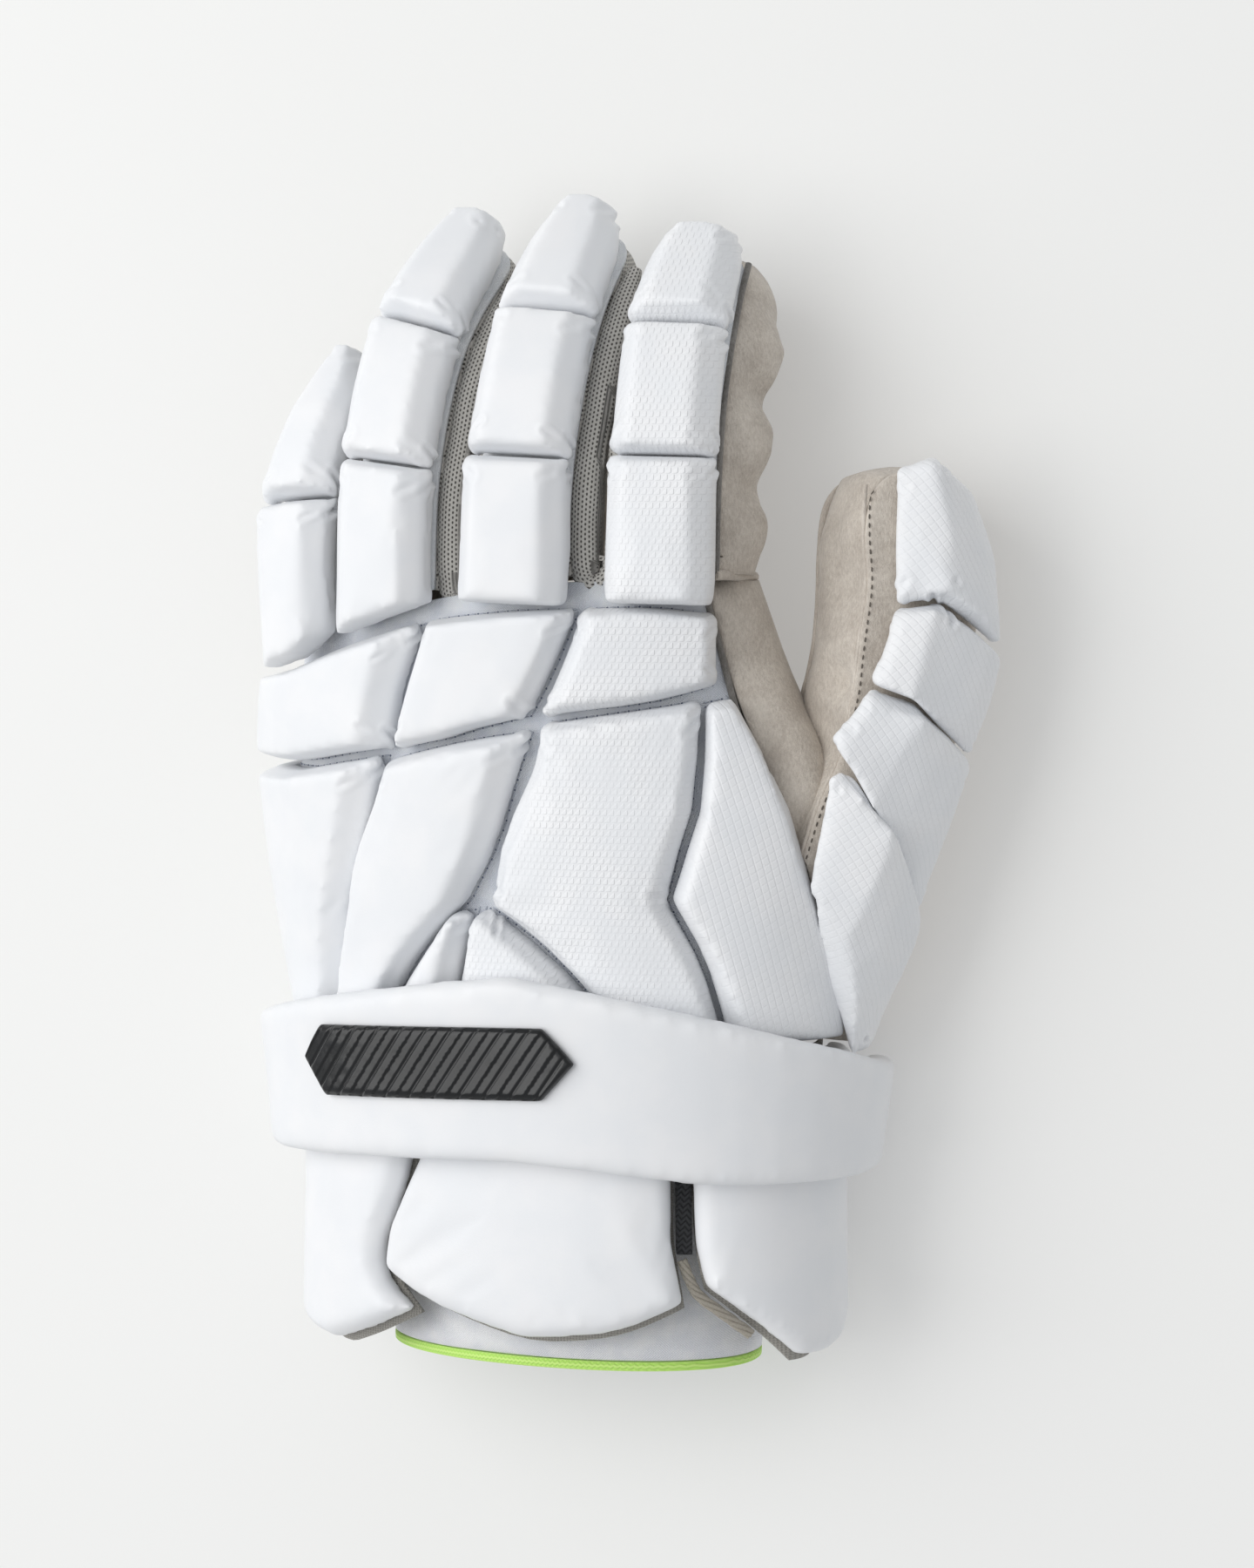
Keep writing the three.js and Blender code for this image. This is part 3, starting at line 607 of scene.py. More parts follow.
CASES = {
    "little": ((-72.5, 113.4, 40.0), 10 * MM, 70 * MM, -14, (0.4, 0.3, 0.3), (-2, 5, 16), (3, 14, 26)),
    "ring": ((-45.5, 120.3, 46.5), 12.5 * MM, 102 * MM, -8, THREE_BONES, (1, 6, 14), (3, 16, 38)),
    "middle": ((-8.5, 126.3, 49.0), 13.5 * MM, 98 * MM, 0, (0.34, 0.35, 0.31), (2, 4.5, 7), (3, 17, 38)),
    "index": ((31.0, 128.0, 45.0), 14 * MM, 88 * MM, 5, THREE_BONES, (0.5, 1, 1), (3, 14, 34)),
}


def merged(node: str) -> bmesh.types.BMesh:
    """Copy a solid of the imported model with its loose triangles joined.

    Args:
        node: the solid's name.

    Returns:
        The copy.
    """
    shape = bmesh.new()
    shape.from_mesh(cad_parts[node].data)
    bmesh.ops.remove_doubles(shape, verts=shape.verts, dist=0.01 * MM)
    return shape


def squared(node: str, crease: float = 0.0, sharp: float = 38.0) -> bmesh.types.BMesh:
    """Copy a solid, join its triangles into squares and crease its sharp edges.

    Args:
        node: the solid's name.
        crease: how hard the creases are, 0 to 1.
        sharp: the angle in degrees from which an edge is creased.

    Returns:
        The copy.
    """
    shape = merged(node)
    limits = {"angle_face_threshold": math.radians(30), "angle_shape_threshold": math.pi}
    bmesh.ops.join_triangles(shape, faces=shape.faces, **limits)
    layer = shape.edges.layers.float.new("crease_edge")
    for edge in shape.edges:
        if edge.calc_face_angle(math.pi) > math.radians(sharp):
            edge[layer] = crease
    return shape


def surface_of(*nodes: str) -> BVHTree:
    """Join the surfaces of some solids, for nearest points.

    Args:
        nodes: the solids' names.

    Returns:
        The surface.
    """
    shape = bmesh.new()
    for node in nodes:
        shape.from_mesh(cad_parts[node].data)
    tree = BVHTree.FromBMesh(shape)
    shape.free()
    return tree


def settle(piece: bpy.types.Object) -> None:
    """Turn a piece's modifiers into its mesh.

    Args:
        piece: the piece, which keeps no modifier.
    """
    depsgraph = bpy.context.evaluated_depsgraph_get()
    mesh = bpy.data.meshes.new_from_object(piece.evaluated_get(depsgraph))
    piece.modifiers.clear()
    old, piece.data = piece.data, mesh
    bpy.data.meshes.remove(old)


def linked(name: str, data: bpy.types.ID) -> bpy.types.Object:
    """Make an object and put it in the scene.

    Args:
        name: the object's name.
        data: its mesh, curve, camera or lamp.

    Returns:
        The object.
    """
    thing = bpy.data.objects.new(name, data)
    bpy.context.scene.collection.objects.link(thing)
    return thing


def placed(shape: bmesh.types.BMesh, name: str) -> bpy.types.Object:
    """Make an object of a shape, at the origin and shaded smoothly.

    Args:
        shape: the shape, which is used up.
        name: the object's name.

    Returns:
        The object.
    """
    mesh = bpy.data.meshes.new(name)
    shape.to_mesh(mesh)
    shape.free()
    mesh.shade_smooth()
    return linked(name, mesh)


def relax(shape: bmesh.types.BMesh, verts: list[bmesh.types.BMVert]) -> None:
    """Move some points half the way to the middle of their neighbours."""
    axes = {"use_axis_x": True, "use_axis_y": True, "use_axis_z": True}
    bmesh.ops.smooth_vert(shape, verts=verts, factor=0.5, **axes)


def evened(piece: bpy.types.Object, size: float) -> None:
    """Rebuild a piece's mesh from even squares.

    Args:
        piece: the piece.
        size: the squares' size in metres.
    """
    remesh = piece.modifiers.new("even", "REMESH")
    remesh.mode = "VOXEL"
    remesh.voxel_size = size
    settle(piece)


def refined(piece: bpy.types.Object, levels: int) -> None:
    """Subdivide a piece smoothly and keep the result as its mesh.

    Args:
        piece: the piece.
        levels: how many times.
    """
    subdivide = piece.modifiers.new("finer", "SUBSURF")
    subdivide.levels = levels
    subdivide.render_levels = levels
    settle(piece)


def join_glove(piece: bpy.types.Object, finish: Finish, *nodes: str) -> bpy.types.Object:
    """Dress a piece, let it ride on the glove and stand for some solids.

    Args:
        piece: the piece.
        finish: its finish.
        nodes: the solids that it replaces.

    Returns:
        The piece.
    """
    finish.dress(piece)
    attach(piece, "root")
    if nodes:
        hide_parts(*nodes)
    piece.data.shade_smooth()
    LOG.info("%s: %d faces", piece.name, len(piece.data.polygons))
    return piece


def shift(piece: bpy.types.Object, moves: list[Vector]) -> None:
    """Move each point of a piece by its own step."""
    for vert, move in zip(piece.data.vertices, moves):
        vert.co += move


def tube(
    name: str, points: list[Vector], radius: float, sides: int = 2, sizes: list[float] | None = None
) -> bpy.types.Object:
    """Sweep a round section along a smooth line and make it a mesh.

    Args:
        name: the object's name.
        points: the line.
        radius: the section's radius.
        sides: how finely the section is rounded.
        sizes: what the radius is multiplied by at each point.

    Returns:
        The tube.
    """
    curve = bpy.data.curves.new(name, "CURVE")
    curve.dimensions = "3D"
    curve.bevel_depth = radius
    curve.bevel_resolution = sides
    curve.use_fill_caps = True
    spline = curve.splines.new("POLY")
    spline.points.add(len(points) - 1)
    for knot, point, size in zip(spline.points, points, sizes or [1.0] * len(points)):
        knot.co = (*point, 1.0)
        knot.radius = size
    line = linked(name + "_line", curve)
    mesh = bpy.data.meshes.new_from_object(line.evaluated_get(bpy.context.evaluated_depsgraph_get()))
    bpy.data.objects.remove(line)
    return linked(name, mesh)


def spaced(points: list[Vector], pitch: float) -> list[tuple[Vector, Vector]]:
    """Walk along a line in equal steps.

    Args:
        points: the line.
        pitch: the length of a step.

    Returns:
        A point and the direction of the line there, for each step.
    """
    steps = []
    due = pitch / 2
    for start, end in zip(points, points[1:]):
        way = end - start
        reach = way.length
        while reach > 0 and due <= reach:
            steps.append((start + way * (due / reach), way / reach))
            due += pitch
        due -= reach
    return steps


def grain_at(point: Vector, pitch: float) -> float:
    """Give a smooth noise from -1 to 1 with clouds of a size in metres."""
    return noise.noise(point / pitch)


def rise(value: float, low: float, high: float) -> float:
    """Rise smoothly from 0 at low to 1 at high."""
    share = min(1.0, max(0.0, (value - low) / (high - low)))
    return share * share * (3 - 2 * share)


# Heights over what carries a pad, and how the pinches in its leather are found.
FOOT_TOP = 1.4 * MM
FLANK_TOP = 2.6 * MM
LEAN_FROM = 3 * MM
FREE_FROM = 4 * MM
TOP_FROM = 6 * MM
SHARP_CORNER = math.radians(34)
LONGEST_CREASE = 18 * MM
LEATHER_CLOTH = {
    "quality": 4,
    "mass": 0.02,
    "use_pressure": True,
    "vertex_group_mass": "held",
    "tension_stiffness": 30,
    "compression_stiffness": 30,
    "bending_stiffness": 2,
}


@dataclass
class Crease:
    """A fold pinched into a pad from its top edge to its foot."""

    start: Vector
    end: Vector
    depth: float = 0.9 * MM
    width: float = 0.9 * MM

    def pull(self, point: Vector) -> float:
        """Tell how far a point sinks, or rises where the number is below 0.

        Args:
            point: the point.

        Returns:
            The depth in metres.
        """
        way = self.end - self.start
        share = min(1.0, max(0.0, (point - self.start).dot(way) / way.length_squared))
        across = (point - self.start - way * share).length / self.width
        if across > 3.8:
            return 0.0
        fade = 0.25 + 0.75 * rise(share, 0.0, 0.5)
        groove = math.exp(-across * across)
        lip = 0.4 * math.exp(-((across - 2.3) ** 2))
        return self.depth * fade * (groove - lip)


@dataclass
class Pad:
    """One leather pad: a soft-edged foam block blown up a little under its leather."""

    node: str
    carriers: tuple[str, ...]
    finish: Finish = SMOOTH
    fill: float = 0.75
    rounding: int = 3
    creased: bool = True
    voxel: float = 1.25 * MM
    spread: float = 0.6 * MM
    cap: float = 1.0 * MM
    lean: float = 0.0
    piece: bpy.types.Object | None = None
    ground: BVHTree | None = None
    creases: list[Crease] = field(default_factory=list)

    def lift(self, point: Vector) -> float:
        """Tell how high a point stands above what carries the pad."""
        return self.ground.find_nearest(point)[3] if self.ground else 1.0

    def block(self) -> None:
        """Make the foam block: the solid's own shape, evenly meshed and rounded away from its foot."""
        self.ground = surface_of(*self.carriers) if self.carriers else None
        shape = merged(self.node)
        if self.creased:
            self.find_creases(shape)
        if self.lean:
            self.tilt(shape)
        self.piece = placed(shape, self.node + "_leather")
        evened(self.piece, self.voxel)
        shape = bmesh.new()
        shape.from_mesh(self.piece.data)
        lifts = {vert: self.lift(vert.co) for vert in shape.verts}
        high = [vert for vert, height in lifts.items() if height > FLANK_TOP]
        middle = [vert for vert, height in lifts.items() if height > FOOT_TOP]
        for turn in range(self.rounding):
            relax(shape, middle if turn % 3 == 0 else high)
        shape.normal_update()
        highest = max(lifts.values())
        moves = []
        for vert, height in lifts.items():
            up = self.ground.find_nearest(vert.co)[1] if self.ground else UP
            flank = self.spread * (1 - rise(height / highest, 0.4, 0.75))
            moves.append((vert, (vert.normal - up * vert.normal.dot(up)) * flank))
        for vert, move in moves:
            vert.co += move
        shape.to_mesh(self.piece.data)
        shape.free()

    def tilt(self, shape: bmesh.types.BMesh) -> None:
        """Lean the pad's top to the fingers' side, so that the outer face is the broad one.

        Args:
            shape: the pad's own solid.
        """
        upper = (face.normal * face.calc_area() for face in shape.faces if face.normal.z > 0.3)
        up = sum(upper, Vector()).normalized()
        inner = Vector((-up.z, 0.0, up.x)).normalized()
        sides = [vert.co.dot(inner) for vert in shape.verts]
        first, last = min(sides), max(sides)
        for vert, side in zip(shape.verts, sides):
            share = (side - first) / (last - first)
            height = max(0.0, self.lift(vert.co) - LEAN_FROM)
            vert.co += inner * (self.lean * height * rise(share, 0.05, 0.4))

    def find_creases(self, shape: bmesh.types.BMesh) -> None:
        """Find where the leather is pinched: from beside each top corner down to the corner of the foot.

        Args:
            shape: the pad's own solid.
        """
        dice = Random(self.node)
        edges = [edge for edge in shape.edges if edge.calc_face_angle(0) > SHARP_CORNER]
        joined: dict[bmesh.types.BMVert, list[Vector]] = {}
        for edge in edges:
            for vert in edge.verts:
                joined.setdefault(vert, []).append((edge.other_vert(vert).co - vert.co).normalized())
        corners = [vert for vert, ways in joined.items() if len(ways) >= 3]
        feet = [vert.co.copy() for vert in corners if self.lift(vert.co) < FREE_FROM]
        for vert in corners:
            if self.lift(vert.co) < TOP_FROM or not feet:
                continue
            foot = min(feet, key=lambda place: (place - vert.co).length)
            if (foot - vert.co).length > LONGEST_CREASE:
                continue
            down = (foot - vert.co).normalized()
            way = max(joined[vert], key=lambda way: abs(way.y) - abs(way.dot(down)))
            start = vert.co + way * dice.uniform(3.0, 6.0) * MM
            depth = dice.uniform(0.6, 1.5) * MM
            self.creases.append(Crease(start, foot + way * 0.6 * MM, depth, dice.uniform(0.7, 1.0) * MM))

    def load_cloth(self, pressure: float) -> None:
        """Give the block a leather skin under pressure, held at its foot.

        Args:
            pressure: the cloth's pressure.
        """
        held = self.piece.vertex_groups.new(name="held")
        for vert in self.piece.data.vertices:
            weight = 1 - rise(self.lift(vert.co), FOOT_TOP, FREE_FROM)
            if weight > 0:
                held.add([vert.index], weight, "REPLACE")
        cloth = self.piece.modifiers.new("leather", "CLOTH")
        for name, value in LEATHER_CLOTH.items():
            setattr(cloth.settings, name, value)
        cloth.settings.uniform_pressure_force = pressure
        cloth.settings.effector_weights.gravity = 0
        cloth.collision_settings.use_collision = False

    def take_cloth(self) -> float:
        """Keep the blown shape, with each point's move capped.

        Returns:
            The largest move before the cap, in metres.
        """
        before = [vert.co.copy() for vert in self.piece.data.vertices]
        settle(self.piece)
        most = 0.0
        for vert, old in zip(self.piece.data.vertices, before):
            move = vert.co - old
            most = max(most, move.length)
            if move.length > self.cap:
                vert.co = old + move * (self.cap / move.length)
        self.piece.vertex_groups.clear()
        return most

    def pinch(self) -> None:
        """Refine the leather and pinch its folds."""
        refined(self.piece, 1)
        if not self.creases:
            return
        shape = bmesh.new()
        shape.from_mesh(self.piece.data)
        near = {vert for vert in shape.verts if any(crease.pull(vert.co) for crease in self.creases)}
        edges = [edge for edge in shape.edges if near.issuperset(edge.verts)]
        bmesh.ops.subdivide_edges(shape, edges=edges, cuts=1, use_grid_fill=True)
        shape.normal_update()
        pulls = [sum(crease.pull(vert.co) for crease in self.creases) for vert in shape.verts]
        moves = [vert.normal * pull for vert, pull in zip(shape.verts, pulls)]
        for vert, move in zip(shape.verts, moves):
            vert.co -= move * rise(self.lift(vert.co), 0.4 * MM, 2.0 * MM)
        shape.to_mesh(self.piece.data)
        shape.free()

    def dress(self) -> None:
        join_glove(self.piece, self.finish, self.node)


@dataclass
class Padding:
    """All the pads, which are blown up together in one cloth simulation."""

    pads: list[Pad]
    frames: int = 20
    pressure: float = 4.0

    def build(self) -> None:
        """Block out, blow up, pinch and dress every pad."""
        for pad in self.pads:
            pad.block()
        for pad in self.pads:
            pad.load_cloth(self.pressure)
        for step in range(1, self.frames + 1):
            bpy.context.scene.frame_set(step)
        moves = [pad.take_cloth() for pad in self.pads]
        bpy.context.scene.frame_set(1)
        LOG.info("leather moved %.2f to %.2f mm", min(moves) / MM, max(moves) / MM)
        for pad in self.pads:
            pad.pinch()
            pad.dress()


# How much longer a side wall's cloth is than the wall is deep, and a length that keeps angles defined.
WALL_STRETCH = 1.15
TINY = 1e-6


@dataclass
class Case:
    """One finger's case in plan: where its middle line runs, so that cloth can be measured along it."""

    name: str
    root: Vector
    half: float
    length: float
    roll: float
    bends: tuple[float, float, float]
    leans: tuple[float, float, float]
    dips: tuple[float, float, float]
    line: list[Vector] = field(default_factory=list)

    def __post_init__(self) -> None:
        """Lay out the middle line from the finger's bones."""
        self.line = [self.root]
        for share, lean, dip in zip(self.bends, self.leans, self.dips):
            lean, dip = math.radians(lean), math.radians(dip)
            flat = Vector((math.sin(lean), math.cos(lean), 0.0)) * math.cos(dip)
            bone = flat - UP * math.sin(dip)
            self.line.append(self.line[-1] + bone * share * self.length)

    def side_of(self, ahead: Vector) -> Vector:
        """Find the way to the thumb's side.

        Args:
            ahead: the way of the middle line.

        Returns:
            The way to the side, turned by the finger's roll.
        """
        side = Vector((ahead.y, -ahead.x, 0.0)).normalized()
        side.rotate(Matrix.Rotation(math.radians(self.roll), 3, ahead))
        return side

    def place(self, across: float, share: float, up: float) -> Vector:
        """Give the point beside and above a share of the middle line.

        Args:
            across: the distance to the thumb's side, in metres.
            share: the share of the finger's length.
            up: the distance out of the finger's back, in metres.

        Returns:
            The point.
        """
        left = share * self.length
        start, way = self.line[0], self.line[1] - self.line[0]
        for start, end in zip(self.line, self.line[1:]):
            way = end - start
            if left <= way.length:
                break
            left -= way.length
        ahead = way.normalized()
        side = self.side_of(ahead)
        return start + ahead * left + side * across + side.cross(ahead) * up

    def unroll(self, point: Vector) -> tuple[float, float]:
        """Measure where a point of the side wall lies on the flat cloth.

        Args:
            point: the point.

        Returns:
            The distances round the finger's plan and down from its back, in metres.
        """
        best = None
        gone = 0.0
        for start, end in zip(self.line, self.line[1:]):
            way = end - start
            share = (point - start).dot(way) / way.length_squared
            kept = min(1.0, max(0.0, share))
            away = (point - start - way * kept).length
            if best is None or away < best[0]:
                best = (away, gone + share * way.length, start + way * share, way.normalized())
            gone += way.length
        _, along, middle, ahead = best
        side = self.side_of(ahead)
        across = (point - middle).dot(side)
        height = (point - middle).dot(side.cross(ahead))
        bend = self.length - self.half
        angle = math.atan2(across, max(along - bend, 0.0) + TINY)
        past = max(0.0, bend - along)
        return (self.half * angle + math.copysign(past, across), height * WALL_STRETCH)


@dataclass
class Skin:
    """One shell piece, refined from its solid, with soft rucks where its cloth is slack."""

    node: str
    finish: Finish
    levels: int = 2
    crease: float = 0.7
    ruck: float = 0.0
    ruck_pitch: float = 9 * MM
    case: Case | None = None
    dents: tuple["Dent", ...] = ()
    piece: bpy.types.Object | None = None

    def build(self) -> None:
        """Refine, ruck, unroll and dress the skin."""
        shape = squared(self.node, self.crease)
        self.piece = placed(shape, self.node + "_skin")
        if self.levels:
            refined(self.piece, self.levels)
        if self.ruck:
            self.add_rucks()
        self.unroll()
        join_glove(self.piece, self.finish, self.node)

    def add_rucks(self) -> None:
        """Move the cloth in and out in soft folds, both faces together."""
        seed = Random(self.node).uniform(0, 9) * MM * 10
        moves = []
        for vert in self.piece.data.vertices:
            point = vert.co + Vector((seed, seed, seed))
            fold = grain_at(point, self.ruck_pitch) + 0.5 * grain_at(point * 1.7, self.ruck_pitch)
            way = Vector((grain_at(point, 60 * MM), 0.0, 0.6)).normalized()
            moves.append(sum((dent.move(vert.co) for dent in self.dents), way * fold * self.ruck))
        shift(self.piece, moves)

    def unroll(self) -> None:
        """Give the cloth its own flat map in metres."""
        mesh = self.piece.data
        flat = mesh.uv_layers.get("cloth") or mesh.uv_layers.new(name="cloth")
        for loop in mesh.loops:
            point = mesh.vertices[loop.vertex_index].co
            place = self.case.unroll(point) if self.case else (point.x, point.y + point.z)
            flat.data[loop.index].uv = place


@dataclass
class Stitches:
    """Rows of short stitches laid on a surface, each one a small rounded bead."""

    name: str
    finish: Finish
    ground: BVHTree
    pitch: float = 3.0 * MM
    length: float = 0.9 * MM
    width: float = 0.3 * MM
    sink: float = 0.0
    shape: bmesh.types.BMesh = field(default_factory=bmesh.new)

    def lay(self, points: list[Vector], reach: float = 4 * MM) -> None:
        """Lay a row along a line, on the nearest place of the surface.

        Args:
            points: the line.
            reach: how far the surface may be from it.
        """
        for point, way in spaced(points, self.pitch):
            place, normal, _, away = self.ground.find_nearest(point)
            if place is None or away > reach:
                continue
            side = normal.cross(way).normalized()
            ahead = side.cross(normal)
            turn = Matrix((ahead, side, normal)).transposed().to_4x4()
            size = Matrix.Diagonal((self.length, self.width, self.width * 0.8, 1.0))
            spot = Matrix.Translation(place - normal * self.sink)
            bmesh.ops.create_icosphere(self.shape, subdivisions=1, radius=1.0, matrix=spot @ turn @ size)

    def build(self) -> None:
        """Make the stitches one piece."""
        if self.shape.faces:
            join_glove(placed(self.shape, self.name), self.finish)


def foot_lines(node: str, ground: BVHTree, offset: float) -> list[list[Vector]]:
    """Find the lines round a pad's foot, a little outside it.

    Args:
        node: the pad's solid.
        ground: the surface that it stands on.
        offset: how far outside the foot.

    Returns:
        The lines, each a short run of points.
    """
    shape = merged(node)
    middle = sum((vert.co for vert in shape.verts), Vector()) / len(shape.verts)
    lines = []
    for edge in shape.edges:
        if edge.calc_face_angle(0) < math.radians(30):
            continue
        ends = [vert.co.copy() for vert in edge.verts]
        if all(ground.find_nearest(end)[3] < 2.2 * MM for end in ends):
            lines.append(ends)
    shape.free()
    chains = chained(lines)
    for chain in chains:
        for i, point in enumerate(chain):
            out = point - middle
            normal = ground.find_nearest(point)[1]
            out -= normal * out.dot(normal)
            chain[i] = point + out.normalized() * offset
    return chains


def chained(pairs: list[list[Vector]]) -> list[list[Vector]]:
    """Join short lines that share ends into long ones.

    Args:
        pairs: the short lines.

    Returns:
        The long lines.
    """

    def key(point: Vector) -> tuple[int, ...]:
        """Round a point, so that shared ends match."""
        return tuple(round(value / (0.02 * MM)) for value in point)

    left = dict(enumerate(pairs))
    ends: dict[tuple[int, ...], list[int]] = {}
    for index, pair in left.items():
        for point in pair:
            ends.setdefault(key(point), []).append(index)
    chains = []
    while left:
        index, chain = left.popitem()
        for _ in range(2):
            growing = True
            while growing:
                growing = False
                for other in ends[key(chain[-1])]:
                    if other in left:
                        first, second = left.pop(other)
                        chain.append(second if key(first) == key(chain[-1]) else first)
                        growing = True
                        break
            chain.reverse()
        chains.append(list(chain))
    return chains


def smooth_line(points: list[Vector], pieces: int = 6) -> list[Vector]:
    """Draw a smooth curve through some points.

    Args:
        points: the points.
        pieces: how many steps lie between two of them.

    Returns:
        The curve's points.
    """
    ends = [points[0] * 2 - points[1], *points, points[-1] * 2 - points[-2]]
    line = []
    for a, b, c, d in zip(ends, ends[1:], ends[2:], ends[3:]):
        for step in range(pieces):
            t = step / pieces
            bow = (2 * a - 5 * b + 4 * c - d) * t * t + (3 * b - a - 3 * c + d) * t**3
            line.append(0.5 * (2 * b + (c - a) * t + bow))
    return [*line, points[-1].copy()]


def ways_at(line: list[Vector], index: int) -> tuple[Vector, Vector]:
    """Find the way ahead and the level way to the side at a point of a line."""
    ahead = (line[min(index + 1, len(line) - 1)] - line[max(index - 1, 0)]).normalized()
    return ahead, ahead.cross(UP).normalized()


def from_source(*points: Colour) -> list[Vector]:
    """Bring points of the part's source, in millimetres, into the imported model's frame."""
    return [(Vector(point) + SOURCE_SHIFT) * MM for point in points]


@dataclass
class Roll:
    """A soft roll of mesh beside two fingers, which runs down one, round the crotch and up the other."""

    left: Case
    right: Case
    radii: tuple[float, float]
    gaps: tuple[float, float]
    tops: tuple[float, float] = (0.9, 0.5)
    turn: float = 0.07
    top: float = 14.6 * MM
    pleats: float = 0.35 * MM

    def stops(self) -> list[tuple[Vector, float]]:
        """List the roll's points with its radius at each.

        Returns:
            The points and radii, from the top of one finger to that of the other.
        """
        rows = []
        first, last = self.radii
        left, right = self.left.half + self.gaps[0], -self.right.half - self.gaps[1]
        for share in (self.tops[0], 0.75, 0.6, 0.45, 0.3, self.turn + 0.06):
            radius = first * (0.5 + 0.5 * rise(self.tops[0] - share, 0.0, 0.2))
            rows.append((self.left.place(left, share, self.top - radius), radius))
        start = self.left.place(left, self.turn, self.top - first)
        end = self.right.place(right, self.turn, self.top - last)
        for share, lower in ((0.1, 0.5), (0.5, 0.85), (0.9, 0.5)):
            point = start.lerp(end, share) - Vector((0.0, lower * (end - start).length, 0.5 * MM))
            rows.append((point, (first + (last - first) * share) * 0.95))
        for share in (self.turn + 0.06, 0.2, 0.28, 0.38, self.tops[1]):
            radius = last * (0.5 + 0.5 * rise(self.tops[1] - share, 0.0, 0.2))
            rows.append((self.right.place(right, share, self.top - 1.5 * MM - radius), radius))
        return rows

    def build(self) -> None:
        """Sweep the roll, gather it at the crotch and lay its cloth."""
        rows = self.stops()
        line = smooth_line([point for point, _ in rows])
        sizes = smooth_line([Vector((radius, 0.0, 0.0)) for _, radius in rows])
        roll = tube(f"{self.left.name}_{self.right.name}_gusset", line, 1.0, 5, [size.x for size in sizes])
        flat = roll.data.uv_layers.new(name="cloth")
        reach = [0.0]
        for start, end in zip(line, line[1:]):
            reach.append(reach[-1] + (end - start).length)
        places, moves = [], []
        turn = min(range(len(line)), key=lambda i: line[i].y)
        for vert in roll.data.vertices:
            i = min(range(len(line)), key=lambda k: (line[k] - vert.co).length_squared)
            ahead, side = ways_at(line, i)
            out = vert.co - line[i]
            along = reach[i] + out.dot(ahead)
            angle = math.atan2(out.dot(side), out.dot(side.cross(ahead)))
            places.append((along, angle * sizes[i].x))
            near = math.exp(-(((reach[i] - reach[turn]) / (9 * MM)) ** 2))
            fold = self.pleats * near * math.sin(along / (0.42 * MM))
            slack = 0.5 * MM * grain_at(line[i], 11 * MM)
            moves.append(out.normalized() * (fold + slack))
        for loop in roll.data.loops:
            flat.data[loop.index].uv = places[loop.vertex_index]
        shift(roll, moves)
        join_glove(roll, MESH)


@dataclass
class Dent:
    """A soft hollow pressed into slack suede."""

    middle: Vector
    radius: float
    depth: float
    way: Vector

    def move(self, point: Vector) -> Vector:
        """Give the step of a point."""
        away = (point - self.middle).length / self.radius
        return self.way * (self.depth * math.exp(-away * away))


def dents_at(rows: tuple[tuple[Colour, float, float], ...], way: Vector) -> tuple[Dent, ...]:
    """Press hollows at places of the part's source, with radii and depths in millimetres too."""
    return tuple(Dent(*from_source(place), radius * MM, depth * MM, way) for place, radius, depth in rows)


@dataclass
class Fingers:
    """The four finger cases: side walls, backings, palm strips and the webs between them."""

    little: Case
    ring: Case
    middle: Case
    index: Case

    def build(self) -> None:
        """Build every finger's shell and the webs."""
        for case in (self.little, self.ring, self.middle, self.index):
            Skin(f"{case.name}_mesh_wall", MESH, 2, 0.6, 0.9 * MM, case=case).build()
            Skin(f"{case.name}_backing", FINGER_BACKING, 1).build()
            Skin(f"{case.name}_palm_strip", SUEDE, 2, 0.6, 0.5 * MM).build()
        side = self.index.half + 4 * MM
        inward = Vector((-0.9, 0.0, -0.35))
        hollows = [self.index.place(side, share, 3 * MM) for share in (0.27, 0.59)]
        bulges = [self.index.place(side, share, 5 * MM) for share in (0.43, 0.76)]
        dents = [Dent(place, 5 * MM, 4 * MM, inward) for place in hollows]
        dents += [Dent(place, 9 * MM, -1.6 * MM, inward) for place in bulges]
        Skin("index_suede_wall", SUEDE, 2, 0.6, 0.7 * MM, 7 * MM, self.index, tuple(dents)).build()
        for left, right in ((self.little, self.ring), (self.ring, self.middle), (self.middle, self.index)):
            Skin(f"{left.name}_{right.name}_web", MESH, 2, 0.5, 0.4 * MM, 4 * MM).build()
        Roll(self.ring, self.middle, (4.4 * MM, 2.4 * MM), (2.9 * MM, 1.6 * MM)).build()
        Roll(self.middle, self.index, (4.4 * MM, 2.2 * MM), (2.9 * MM, 2.0 * MM)).build()
        Roll(self.little, self.ring, (2.0 * MM, 1.6 * MM), (0.8 * MM, 0.6 * MM)).build()


